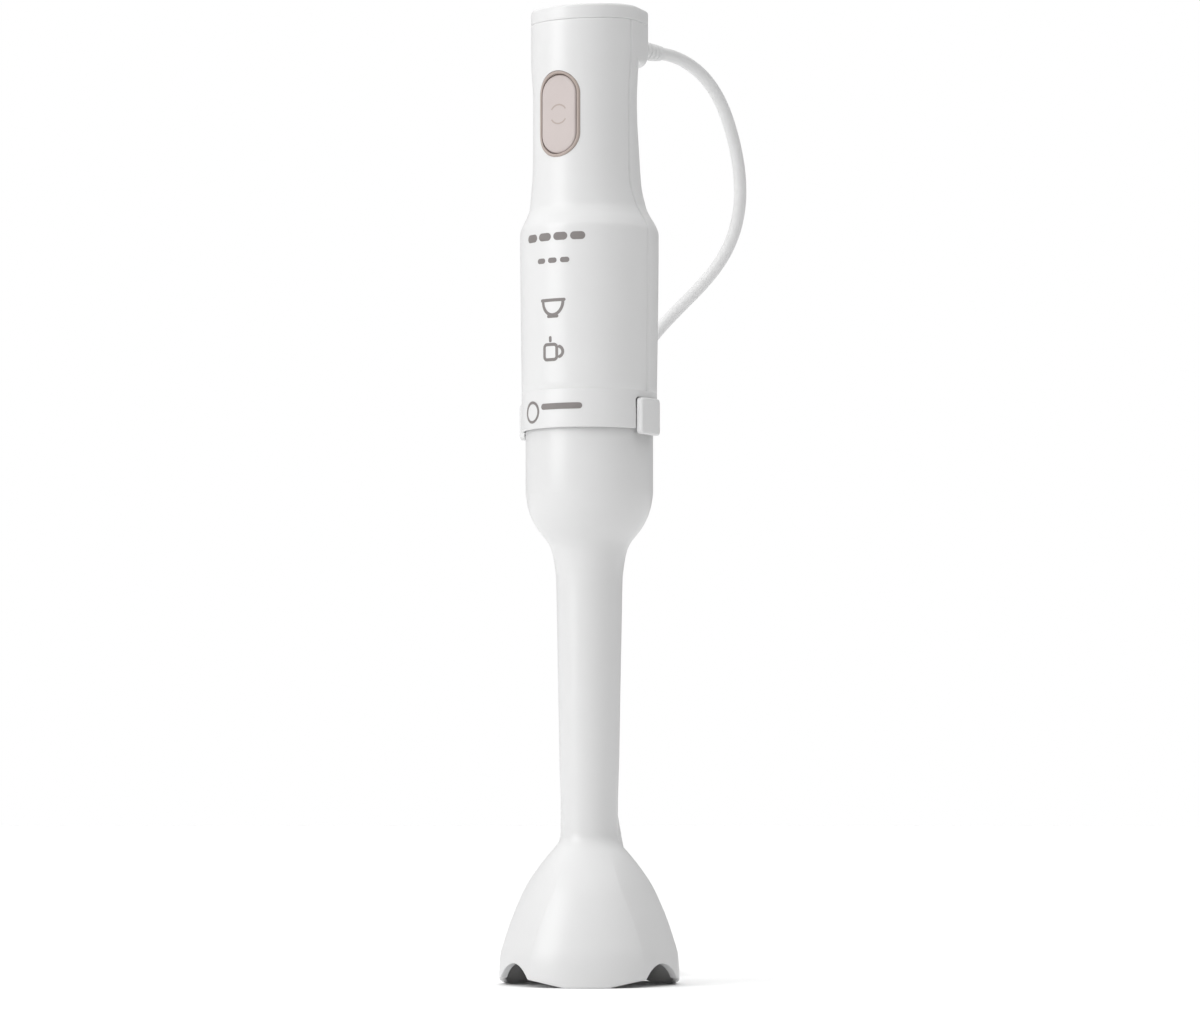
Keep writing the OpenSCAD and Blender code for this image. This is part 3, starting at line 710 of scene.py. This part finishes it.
def make_collar():
    """Ring that runs on flush from the housing."""
    inner = CUP_R + 0.5
    corners = [(inner, COLLAR_Z), (COLLAR_R, COLLAR_Z), (COLLAR_R, COLLAR_Z + 5), (BODY_LOW_R, SHELL_Z),
               (inner, SHELL_Z)]
    outline = rounded(corners, [0.3, 0.45, 0, 0.03, 0])
    collar = revolve("collar", outline, 192)
    for side in (-1, 1):
        w = RELEASE_W / 2 + RELEASE_GAP
        z0, z1 = RELEASE_LOW - 3, RELEASE_HIGH + RELEASE_GAP
        ring = rounded([(-w, z0), (w, z0), (w, z1), (-w, z1)], 1.6)
        x0, x1 = sorted((side * 20, side * 32))
        window = loft("window", [[(x, y, z) for y, z in ring] for x in (x0, x1)])
        cut(collar, window)
    return collar


def release_outline():
    """Rounded (y, z) outline of a release button about its middle, with points close enough to bend."""
    w, h = RELEASE_W / 2, (RELEASE_HIGH - RELEASE_LOW) / 2
    corners = rounded([(-w, -h), (w, -h), (w, h), (-w, h)], 1.5, 8)
    dense = []
    for a, b in zip(corners, corners[1:] + corners[:1]):
        steps = max(1, round(math.dist(a, b) / 0.8))
        dense += [(a[0] + (b[0] - a[0]) * k / steps, a[1] + (b[1] - a[1]) * k / steps)
                  for k in range(steps)]
    return dense


def make_release_button(name, side):
    """Curved plate with a rounded edge."""
    w, h = RELEASE_W, RELEASE_HIGH - RELEASE_LOW
    mid = (RELEASE_LOW + RELEASE_HIGH) / 2
    inner_r = CUP_R + 1.8
    base = release_outline()

    def curved(r, y_scale=1.0, z_scale=1.0):
        scaled = [(y * y_scale, z * z_scale) for y, z in base]
        return [(side * math.sqrt(r * r - y * y), y, mid + z) for y, z in scaled]

    edge = 0.7
    rings = [[(side * inner_r, 0, mid)], curved(inner_r), curved(RELEASE_R - edge)]
    for inset, drop in rounding(edge, 5)[1:]:
        rings.append(curved(RELEASE_R - drop, (w - 2 * inset) / w, (h - 2 * inset) / h))
    for share in (0.92, 0.84, 0.76, 0.68, 0.6, 0.52, 0.44, 0.36, 0.28, 0.2, 0.12):
        rings.append(curved(RELEASE_R, (w - 2 * edge) / w * share, (h - 2 * edge) / h * share))
    rings.append([(side * RELEASE_R, 0, mid)])
    return loft(name, rings, ends=False, sharp=50)


# ---- bar ----

def make_bar():
    """White tube that widens into the cup that plugs into the collar."""
    foot_r, top_r = 10.8, 12.6
    cup_z = 185
    knots = [(BELL_H, foot_r), (66, foot_r), (84, 11.3), (110, 11.75), (138, 12.3), (153, top_r),
             (156.5, 13), (160, 13.5), (163.5, 14.3), (166.5, 15.7), (169, 17.6), (171.4, 19.5),
             (174.5, 21.3), (177.5, 22.6), (180.7, 23.5), (cup_z, CUP_R)]
    outside = []
    z = BELL_H
    while z < cup_z:
        outside.append((curve_through(knots, z), z))
        z += 6 if z < 148 else 1
    rim = [(CUP_R, CUP_TOP - 0.6), (CUP_R - 0.2, CUP_TOP - 0.15), (CUP_R - 0.6, CUP_TOP), (22.4, CUP_TOP),
           (21.8, CUP_TOP - 0.5)]
    # A snap groove inside the cup, the cup's floor, and the tube's bore
    inside = [(21.5, 214.4), (22.6, 213.9), (22.6, 210.5), (21.5, 210), (21.5, 186.6), (20.9, 186),
              (5.2, 186), (5, 185.8), (5, 168.8), (8.9, 168.6)]
    outline = [(8.9, BELL_H)] + outside + [(CUP_R, cup_z)] + rim + inside
    return revolve("bar_tube_skin", outline, 160)


# The bell's outside: (height, radius)
BELL_KNOTS = [(z, BELL_R - inset) for z, inset in (
    (0, 0.1), (4, 0.12), (10, 0.45), (12, 0.75), (16.6, 2.1), (21, 3.5), (25.7, 5.2), (30, 7), (34.7, 9.1),
    (39, 11.5), (44, 15), (48, 18.1), (50.6, 20.4), (53, 22.2), (55.5, 23.2))] + [(BELL_H + 2, 10.8)]
BELL_WALL = 2.4
# Arcs of the rim over each third: (half width, height) of the arch and of the shallow flare beside it
RIM_ARCS = [(12.6, 8.4), (24.4, 3.5)]
# Hollows over the arches: half width at the rim and the share it loses, depth, and where both start to fade
FLUTE_HALF = 12
FLUTE_NARROWING = 0.45
FLUTE_DEPTH = 1.7
FLUTE_FADE_Z = 34
ARCH_ANGLES = [math.radians(a) for a in (0, 120, 240)]


def arch_offset(angle):
    """Angle from the nearest arch's middle."""
    return min(((angle - a + math.pi) % (2 * math.pi) - math.pi for a in ARCH_ANGLES), key=abs)


def rim_height(angle):
    """Height of the bell's lower edge."""
    x = BELL_R * math.sin(arch_offset(angle))
    height = 0
    for half, rise in RIM_ARCS:
        r = (half ** 2 + rise ** 2) / (2 * rise)
        if abs(x) < half:
            height = max(height, rise - r + math.sqrt(r * r - x * x))
    return height


def flute(angle, z):
    """Depth of the hollow above each arch, between creased edges that draw together toward the top."""
    across = curve_through(BELL_KNOTS, z) * math.sin(abs(arch_offset(angle)))
    half = FLUTE_HALF * (1 - FLUTE_NARROWING * smoothstep(FLUTE_FADE_Z, BELL_H - 4, z))
    if across >= half:
        return 0
    fade = 1 - smoothstep(FLUTE_FADE_Z, BELL_H - 5, z)
    return FLUTE_DEPTH * fade * (1 - (across / half) ** 2)


def make_bell():
    """Guard with arched cut-outs in its rim and a flute above each."""
    segments = 360
    rim_zone = 16
    rows = [0.5, 1.2, 2.4, 4, 6, 8, 10, 12, 14, 16.5, 19, 21.5, 24, 26.5, 29, 31.5, 34, 36.5, 39,
            41.5, 44, 46, 48, 49.5, 51, 52.5, 54, 55.5, BELL_H]
    inner_rows = [40, 36.5, 34, 31.5, 29, 26.5, 24, 21.5, 19, 16.5, 12, 8, 4, 1]

    def row(z, inset, wall=False):
        ring = []
        for a in turn_points(segments):
            rim = rim_height(a)
            zz = z if z > rim_zone else rim + z * (rim_zone - rim) / rim_zone
            r = curve_through(BELL_KNOTS, zz) - inset - (0 if wall else flute(a, zz))
            ring.append((r * math.cos(a), r * math.sin(a), zz))
        return ring

    # The rim, the outside, the neck that the tube ends in, and the inside
    rings = [row(0, BELL_WALL), row(0, 0.45), row(0.12, 0.14)]
    rings += [row(z, 0) for z in rows]
    rings += [level_ring(r, z, segments) for r, z in ((9.1, BELL_H), (9.1, 46), (12, 44.5))]
    rings += [row(z, BELL_WALL, wall=True) for z in inner_rows]
    return loop_loft("bell", rings, sharp=30)


# ---- marks ----

def body_radius(z):
    """Radius of the motor unit's outside, on the front."""
    return COLLAR_R if z < SHELL_Z else curve_through(HALF_WIDTH, z)


def on_body(s_across, z, lift):
    """Point on the front of the motor unit, s_across millimetres round it from the middle."""
    r = body_radius(z)
    return ((r + lift) * math.sin(s_across / r), -(r + lift) * math.cos(s_across / r), z)


def on_button(x, z, lift):
    """Point on the button's face."""
    return (x, button_face_y(x, z - BUTTON_Z) - lift, z)


def stroke(path, half, closed):
    """Cross-sections of a flat line of the given half width; open ones get round ends."""
    path = [Vector(p) for p in path]
    n = len(path)
    rows = []
    if not closed:
        for end, other in ((0, 1), (n - 1, n - 2)):
            out = (path[end] - path[other]).normalized()
            tips = [(path[end] + out * half * math.sin(a), half * math.cos(a))
                    for a in (math.radians(d) for d in (80, 60, 40, 20))]
            rows.append(tips if end == 0 else tips[::-1])
        centres = rows[0] + [(p, half) for p in path] + rows[1]
    else:
        centres = [(p, half) for p in path]
    out = []
    for i, (p, h) in enumerate(centres):
        if closed:
            along = centres[(i + 1) % len(centres)][0] - centres[i - 1][0]
        else:
            along = centres[min(i + 1, len(centres) - 1)][0] - centres[max(i - 1, 0)][0]
        side = Vector((-along.y, along.x)).normalized() * h
        out.append((p - side, p + side))
    return out


def make_mark(name, strokes, surface, lift=0.05, sink=0.5):
    """Thin inlay from flat lines (path, half width, closed) laid on a surface."""
    points = []
    faces = []
    for path, half, closed in strokes:
        start = len(points)
        rows = stroke(path, half, closed)
        for a, b in rows:
            points += [surface(*a, lift), surface(*b, lift), surface(*b, -sink), surface(*a, -sink)]
        faces += quads(len(rows), 4, closed, start)
        if not closed:
            for end in (start, start + 4 * (len(rows) - 1)):
                faces.append(tuple(end + k for k in range(4)))
    return build(name, points, faces, sharp=30)


def line(x0, z0, x1, z1):
    """Points along a straight line, close enough to follow a curved surface."""
    n = max(2, round(math.dist((x0, z0), (x1, z1)) / 0.6))
    return [(x0 + (x1 - x0) * k / n, z0 + (z1 - z0) * k / n) for k in range(n + 1)]


def arc(x, z, r, a0, a1, n=16, upright=1.0):
    """Points along an arc between two angles in degrees; upright stretches its height."""
    turns = [math.radians(a0 + (a1 - a0) * k / n) for k in range(n + 1)]
    return [(x + r * math.cos(a), z + upright * r * math.sin(a)) for a in turns]


# Plain signs that stand where the product has its own: heights of their middles
BARS_Z = 280.5
DOTS_Z = 271.5
BOWL_Z = 253.8
MUG_Z = 238
RING_Z = 214.8


def make_marks():
    """Bars, dots, a bowl, a mug, and a ring with a line."""
    bars = [(line(x - 1.4, BARS_Z, x + 1.4, BARS_Z), 1.5, False) for x in (-10.4, -3.5, 3.4, 10.3)]
    dots = [(line(x - 0.9, DOTS_Z, x + 0.9, DOTS_Z), 1.0, False) for x in (-5.2, 0, 5.2)]
    thin = 0.6
    bowl = [(arc(0, BOWL_Z + 2.2, 4.4, 180, 360, 24, 1.15), thin, False),
            (line(-4.9, BOWL_Z + 2.7, 4.9, BOWL_Z + 2.7), thin, False),
            (line(-1.9, BOWL_Z - 3.4, 1.9, BOWL_Z - 3.4), thin, False)]
    side = [(-3.9, MUG_Z - 3.9), (1.7, MUG_Z - 3.9), (1.7, MUG_Z + 1.8), (-3.9, MUG_Z + 1.8)]
    mug = [(rounded(side, 1.2), thin, True),
           (arc(2.2, MUG_Z - 1, 2, -72, 72), thin, False),
           (line(-1.1, MUG_Z + 3.2, -1.1, MUG_Z + 4.4), thin, False)]
    ring = [(circle(-10.9, RING_Z, 3.7), 0.5, True),
            (line(-4.4, RING_Z + 1.7, 10.6, RING_Z + 1.7), 1.15, False)]
    marks = {"mark_bars": bars, "mark_dots": dots, "mark_bowl": bowl, "mark_mug": mug, "mark_ring": ring}
    return [make_mark(name, strokes, on_body) for name, strokes in marks.items()]


# ---- strain relief, plug and tie ----

def make_relief():
    """Tapered sleeve with ribs that lifts a little toward its tip."""
    tip_y = high("strain_relief").y
    back = LOBE_BACK
    outline = [(0, back - 5.5), (5.3, back - 5.5), (5.3, back - 3.4), (4.5, back - 3.3), (4.5, back + 0.4),
               (4.2, back + 0.8)]
    ribs = 6
    start = back + 2
    pitch = (tip_y - 2.5 - start) / ribs
    for k in range(ribs):
        y = start + pitch * k
        r = 4.2 - 1.1 * (y - back) / (tip_y - back)
        outline += [(r, y), (r - 0.1, y + 0.15), (r - 0.5, y + 0.45), (r - 0.5, y + 0.9), (r - 0.12, y + 1.2),
                    (r - 0.05, y + 1.35)]
    outline += [(3.05, tip_y - 1.2), (2.95, tip_y - 0.4), (2.7, tip_y - 0.1), (0, tip_y - 0.1)]
    relief = revolve_y("cord_relief", outline, (0, CORD_Z), 48)
    lift = 0.9
    for vertex in relief.data.vertices:
        share = max(vertex.co.y / MM - back, 0) / (tip_y - back)
        vertex.co.z += lift * share ** 2 * MM
    return relief


PLUG_SIDE = 17
PLUG_START = 120
PLUG_LEN = 36
PLUG_T = 13.7
PLUG_W = 35
PIN_R = 2
PIN_LEN = 19
PIN_PITCH = 18.6


def stowed(x, y, z):
    """Point given with x along the line on which the coil lies."""
    return (x * math.cos(STOW) - y * math.sin(STOW), x * math.sin(STOW) + y * math.cos(STOW), z)


def plug_point(u, v, w):
    """Point in the plug's own frame: along it, across it, and up from its middle."""
    x, y = PLUG_START + u, PLUG_SIDE + v
    return stowed(x, y, PLUG_T / 2 + w)


def make_plug():
    """Flat two-pin plug: a ribbed neck that widens into a body with a soft-cornered face."""
    sections = [(0, 2.7, 2.7), (0.3, 3.05, 3.05)]
    for k in range(4):
        u = 1.2 + 2.4 * k
        r = 3.1 + 0.42 * k
        sections += [(u, r, r), (u + 0.2, r + 0.25, r + 0.25), (u + 1.3, r + 0.35, r + 0.35),
                     (u + 1.5, r + 0.1, r + 0.1)]
    sections += [(11.5, 5.1, 5), (13.5, 7.4, 5.5), (16, 11, 6.1), (18.5, 14.2, 6.5), (21, 16.2, 6.75),
                 (24, 17.3, PLUG_T / 2), (31, PLUG_W / 2, PLUG_T / 2), (34.5, PLUG_W / 2, PLUG_T / 2),
                 (35.4, 17.25, 6.6), (35.85, 16.8, 6.15), (PLUG_LEN, 16.2, 5.6)]
    rings = []
    for u, half_w, half_t in sections:
        ring = []
        for a in turn_points(64):
            corner = min(half_w, half_t)
            flat = half_w - corner
            x = corner * math.cos(a) + (flat if math.cos(a) >= 0 else -flat)
            ring.append(plug_point(u, x, corner * math.sin(a)))
        rings.append(ring)
    return loft("plug_shell", rings, sharp=40)


def make_pin(name, side):
    """Round pin with a chamfered tip."""
    rings = []
    for u, r in ((-2, PIN_R), (0, PIN_R), (PIN_LEN - 1.4, PIN_R), (PIN_LEN - 0.6, PIN_R - 0.35),
                 (PIN_LEN - 0.15, PIN_R - 0.9), (PIN_LEN, PIN_R - 1.5)):
        rings.append([plug_point(PLUG_LEN + u, v, w) for v, w in circle(side * PIN_PITCH / 2, 0, r)])
    return loft(name, rings, sharp=30)


def make_tie():
    """Flat strap round the coil's turns, with rounded corners."""
    wide = 5
    middle = (COIL_OUT + COIL_IN) / 2
    half = 9.8
    top = 2 * CORD_D + 1.6
    outside = rounded([(-half, 0), (half, 0), (half, top), (-half, top)], 2.2)
    in_half, in_top = half - 0.7, top - 0.8
    inside = rounded([(-in_half, 0.6), (in_half, 0.6), (in_half, in_top), (-in_half, in_top)], 1.6)
    sections = ((outside, -wide / 2 + 0.3), (outside, wide / 2 - 0.3), (inside, wide / 2),
                (inside, -wide / 2))
    rings = [[stowed(COIL_DISTANCE - middle - a, y, z) for a, z in ring] for ring, y in sections]
    return loop_loft("cord_strap", rings, sharp=40)


# ---- materials ----

# Stretch of the noise's values over which a finish varies, and the grain's depth in metres
NOISE_SPAN = (0.3, 0.7)
GRAIN_DEPTH = 0.0002


def link(tree, source, output, target, entry):
    """Joins one node's output to another's input."""
    tree.links.new(source.outputs[output], target.inputs[entry])


def add(tree, kind, **values):
    """New shader node with its inputs set; an underscore in an input's name stands for a space."""
    node = tree.nodes.new("ShaderNode" + kind)
    for name, value in values.items():
        node.inputs[name.replace("_", " ")].default_value = value
    return node


def blank_material(name):
    """New material without nodes, and its tree."""
    made = bpy.data.materials.new(name)
    made.use_nodes = True
    made.node_tree.nodes.clear()
    return made, made.node_tree


def material(name, colour, roughness=0.4, metallic=0.0, spread=0.04, tone=0.03, scale=120, bump=0.06,
             bump_scale=900, coat=0.0, specular=0.5, stretch=(1, 1, 1)):
    """Procedural finish: noise varies tone and roughness, and finer noise gives the surface its grain."""
    made, tree = blank_material(name)
    out = add(tree, "OutputMaterial")
    shader = add(tree, "BsdfPrincipled", Metallic=metallic, Specular_IOR_Level=specular, Coat_Weight=coat,
                 Coat_Roughness=0.2)
    link(tree, shader, "BSDF", out, "Surface")
    where = add(tree, "TexCoord")
    mapping = add(tree, "Mapping", Scale=stretch)
    link(tree, where, "Object", mapping, "Vector")
    broad = add(tree, "TexNoise", Scale=scale, Detail=4)
    link(tree, mapping, "Vector", broad, "Vector")
    ramp = add(tree, "ValToRGB")
    for stop, position, share in zip(ramp.color_ramp.elements, NOISE_SPAN, (1 - tone, 1 + tone)):
        stop.position = position
        stop.color = (*[min(c * share, 1) for c in colour], 1)
    link(tree, broad, "Fac", ramp, "Fac")
    link(tree, ramp, "Color", shader, "Base Color")
    span = add(tree, "MapRange", From_Min=NOISE_SPAN[0], From_Max=NOISE_SPAN[1],
               To_Min=max(roughness - spread, 0.02), To_Max=roughness + spread)
    link(tree, broad, "Fac", span, "Value")
    link(tree, span, "Result", shader, "Roughness")
    grain = add(tree, "TexNoise", Scale=bump_scale, Detail=3)
    link(tree, mapping, "Vector", grain, "Vector")
    relief = add(tree, "Bump", Strength=bump, Distance=GRAIN_DEPTH)
    link(tree, grain, "Fac", relief, "Height")
    link(tree, relief, "Normal", shader, "Normal")
    return made


FINISHES = {
    "housing_white": dict(colour=(0.65, 0.65, 0.65), roughness=0.34, spread=0.03, tone=0.006, scale=60,
                          bump=0.05, bump_scale=1400),
    "bar_white": dict(colour=(0.63, 0.63, 0.63), roughness=0.32, spread=0.03, tone=0.006, scale=60,
                      bump=0.05, bump_scale=1400),
    "button_taupe": dict(colour=(0.47, 0.415, 0.4), roughness=0.5, tone=0.02, bump=0.15, bump_scale=2500),
    # button_rim is darker than button_taupe as painted shade: its dark tone stands in for the gap shadow and
    # shaded side walls round the button's frame
    "button_rim": dict(colour=(0.36, 0.3, 0.27), roughness=0.42, tone=0.02, bump=0.08, bump_scale=1800),
    "inner_plastic": dict(colour=(0.76, 0.76, 0.75), roughness=0.5, bump=0.12, bump_scale=1500),
    "coupler_plastic": dict(colour=(0.78, 0.77, 0.72), roughness=0.42, bump=0.1, bump_scale=1500),
    "dark_plastic": dict(colour=(0.03, 0.03, 0.033), roughness=0.45, tone=0.15, bump=0.12),
    "red_plastic": dict(colour=(0.5, 0.045, 0.035), roughness=0.4, tone=0.08),
    "tan_plastic": dict(colour=(0.5, 0.36, 0.22), roughness=0.55, tone=0.12, bump=0.2),
    "board_green": dict(colour=(0.02, 0.16, 0.07), roughness=0.3, tone=0.2, bump=0.1, coat=0.3),
    "yellow_film": dict(colour=(0.72, 0.5, 0.07), roughness=0.25, tone=0.06, coat=0.4),
    "zinc_steel": dict(colour=(0.6, 0.61, 0.63), roughness=0.32, metallic=1, spread=0.08, tone=0.06),
    "spring_steel": dict(colour=(0.5, 0.51, 0.53), roughness=0.28, metallic=1, spread=0.06, tone=0.08),
    "ground_steel": dict(colour=(0.62, 0.62, 0.63), roughness=0.22, metallic=1, spread=0.06,
                         stretch=(1, 1, 12), bump=0.12),
    "blade_steel": dict(colour=(0.64, 0.64, 0.65), roughness=0.25, metallic=1, spread=0.08,
                        stretch=(1, 9, 1), bump=0.15),
    "lamination_steel": dict(colour=(0.3, 0.3, 0.31), roughness=0.42, metallic=0.9, stretch=(1, 1, 20),
                             bump=0.5),
    "ferrite": dict(colour=(0.045, 0.045, 0.05), roughness=0.6, tone=0.2, bump=0.3),
    "carbon": dict(colour=(0.02, 0.02, 0.02), roughness=0.55, tone=0.25, bump=0.3),
    "sintered_bronze": dict(colour=(0.42, 0.27, 0.12), roughness=0.5, metallic=0.9, tone=0.15, bump=0.4),
    "brass": dict(colour=(0.72, 0.5, 0.18), roughness=0.28, metallic=1, spread=0.08),
    "enamelled_copper": dict(colour=(0.42, 0.13, 0.045), roughness=0.25, metallic=0.7, tone=0.15,
                             stretch=(1, 1, 6), bump=0.6, bump_scale=600),
    "commutator_copper": dict(colour=(0.68, 0.34, 0.2), roughness=0.25, metallic=1, spread=0.08,
                              stretch=(1, 1, 14), bump=0.2),
    "seal_rubber": dict(colour=(0.025, 0.025, 0.026), roughness=0.65, tone=0.2, bump=0.25),
    "cord_white": dict(colour=(0.64, 0.64, 0.64), roughness=0.5, tone=0.012, bump=0.03, bump_scale=1200),
    "tie_grey": dict(colour=(0.19, 0.175, 0.17), roughness=0.6, tone=0.08, bump=0.2),
    "plated_pin": dict(colour=(0.72, 0.71, 0.68), roughness=0.2, metallic=1, spread=0.06),
}
MATERIALS = {slot: material(slot, **look) for slot, look in FINISHES.items()}


def paint(piece, slot):
    """Gives the piece the finish named after the record's slot."""
    piece.data.materials.clear()
    piece.data.materials.append(MATERIALS[slot])


# ---- assembly ----

def place(piece, slot, body, *nodes):
    """Finishes a piece: its material, the body that it rides on, and the CAD nodes that it stands for."""
    paint(piece, slot)
    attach(piece, body)
    if nodes:
        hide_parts(*nodes)
    return piece


def assemble():
    cord, exit_point, length = make_cord()
    place(cord, "cord_white", "motor_unit", "cord_lead", "cord_coil", "cord_tail")
    place(make_relief(), "cord_white", "motor_unit", "strain_relief")
    place(make_plug(), "cord_white", "motor_unit", "plug_body")
    for name, side in (("plug_pin_a", -1), ("plug_pin_b", 1)):
        place(make_pin(name, side), "plated_pin", "motor_unit", "plug_pins")
    place(make_tie(), "tie_grey", "motor_unit", "cord_tie")
    [v * MM for v in exit_point]
    place(make_front_shell(), "housing_white", "motor_unit", "front_housing")
    place(make_rear_shell(), "housing_white", "motor_unit", "rear_housing")
    place(make_top_cap(), "housing_white", "motor_unit", "top_cap")
    # The frame's darker finish is painted shade for the gap and side walls round the button
    place(make_button_frame(), "button_rim", "motor_unit", "button_frame")
    place(make_button(), "button_taupe", "button", "power_button")
    spring = place(make_spring(), "spring_steel", "motor_unit", "button_spring")
    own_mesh(spring)
    # The ring stands for an embossed ring; its dark colour is painted shade for the relief's shading
    ring = make_mark("button_ring", [(circle(0, BUTTON_Z, 3.6), 0.3, True)], on_button, lift=0.04)
    place(ring, "button_rim", "button")
    place(make_collar(), "housing_white", "motor_unit", "collar_ring")
    for mark in make_marks():
        place(mark, "tie_grey", "motor_unit")
    for name, side in (("right", 1), ("left", -1)):
        plate = make_release_button(f"release_plate_{name}", side)
        place(plate, "housing_white", f"release_{name}", f"release_button_{name}")
    place(make_bar(), "bar_white", "bar", "bar_tube")
    place(make_bell(), "bar_white", "bar", "blade_guard")


assemble()

# CAD parts seen under the bell, or when the bar is off, whose edges are eased
EASE = 0.15
EASED = ("blade", "blade_hub", "shaft_seal", "bar_coupler", "drive_coupler", "coupling_socket",
         "housing_screws")
for part in frame["record"]["subparts"]:
    node = frame["nodes"][part["node"]]
    paint(node, part["material_slot"])
    if part["node"] in EASED:
        soften(node, EASE)


# ---- stage ----

def white_glow():
    """Plain white glow, for the backdrop."""
    made, tree = blank_material("backdrop_white")
    glow = add(tree, "Emission", Strength=1)
    link(tree, glow, "Emission", add(tree, "OutputMaterial"), "Surface")
    return made


# Radius of the floor and the dome and height that the light looks at, in metres, and the dome's rows
STAGE_R = 6
AIM_Z = 0.18
DOME_STEPS = 24


def make_stage():
    """Round pale floor under a white dome; the dome is only a backdrop and lights nothing."""
    segments = 96

    def surface(name, rings):
        points = [p for ring in rings for p in ring]
        faces = quads(len(rings), segments, closed=False)
        faces.append(tuple(range(segments)))
        mesh = bpy.data.meshes.new(name)
        mesh.from_pydata(points, [], faces)
        piece = put(name, mesh)
        return piece

    floor = surface("floor", [level_ring(r, 0, segments) for r in (0.5, 2, STAGE_R + 0.1)])
    floor.data.materials.append(material("floor_white", (0.87, 0.87, 0.87), roughness=0.8, tone=0.004,
                                         scale=3, bump=0.02, bump_scale=40, specular=0.1))
    rises = [math.pi / 2 * max(k, 0.02) / DOME_STEPS for k in range(DOME_STEPS + 1)]
    dome = surface("backdrop", [level_ring(STAGE_R * math.sin(a), STAGE_R * math.cos(a) - 0.01, segments)
                                for a in rises])
    dome.data.materials.append(white_glow())
    dome.visible_diffuse = False
    dome.visible_glossy = False
    dome.visible_transmission = False
    dome.visible_shadow = False


def area_light(name, azimuth, elevation, distance, width, height, power):
    """Soft light that looks at the object's middle; azimuth is measured like the camera's."""
    data = bpy.data.lights.new(name, "AREA")
    data.shape = "RECTANGLE"
    data.size = width
    data.size_y = height
    data.energy = power
    lamp = put(name, data)
    a, e = math.radians(azimuth), math.radians(elevation)
    aim = Vector((0, 0, AIM_Z))
    away = Vector((math.sin(a) * math.cos(e), -math.cos(a) * math.cos(e), math.sin(e)))
    lamp.location = aim + away * distance
    lamp.rotation_euler = away.to_track_quat("Z", "Y").to_euler()


BRIGHT_SIDE = math.radians(-85)
SIDE_STRENGTH = (0.2, 0.45)
OVERHEAD_STRENGTH = 1.45


def studio_world():
    """Soft surround: brighter on the key light's side and overhead, dim on the far side."""
    world = bpy.data.worlds.new("studio")
    scene.world = world
    world.use_nodes = True
    tree = world.node_tree
    back = tree.nodes["Background"]
    back.inputs["Color"].default_value = (1, 1, 1, 1)
    where = add(tree, "TexCoord")
    side = add(tree, "VectorMath")
    side.operation = "DOT_PRODUCT"
    side.inputs[1].default_value = (math.sin(BRIGHT_SIDE), -math.cos(BRIGHT_SIDE), 0)
    link(tree, where, "Generated", side, 0)
    level = add(tree, "MapRange", From_Min=-0.6, From_Max=0.9, To_Min=SIDE_STRENGTH[0],
                To_Max=SIDE_STRENGTH[1])
    link(tree, side, "Value", level, "Value")
    split = add(tree, "SeparateXYZ")
    link(tree, where, "Generated", split, "Vector")
    top = add(tree, "MapRange", From_Min=0.2, To_Max=OVERHEAD_STRENGTH)
    link(tree, split, "Z", top, "Value")
    total = add(tree, "Math")
    total.operation = "ADD"
    for k, share in enumerate((level, top)):
        share.interpolation_type = "SMOOTHSTEP"
        link(tree, share, "Result", total, k)
    link(tree, total, "Value", back, "Strength")


studio_world()
area_light("key", azimuth=-27, elevation=22, distance=1.7, width=0.9, height=1.3, power=13)
scene.view_settings.view_transform = "Standard"
make_stage()
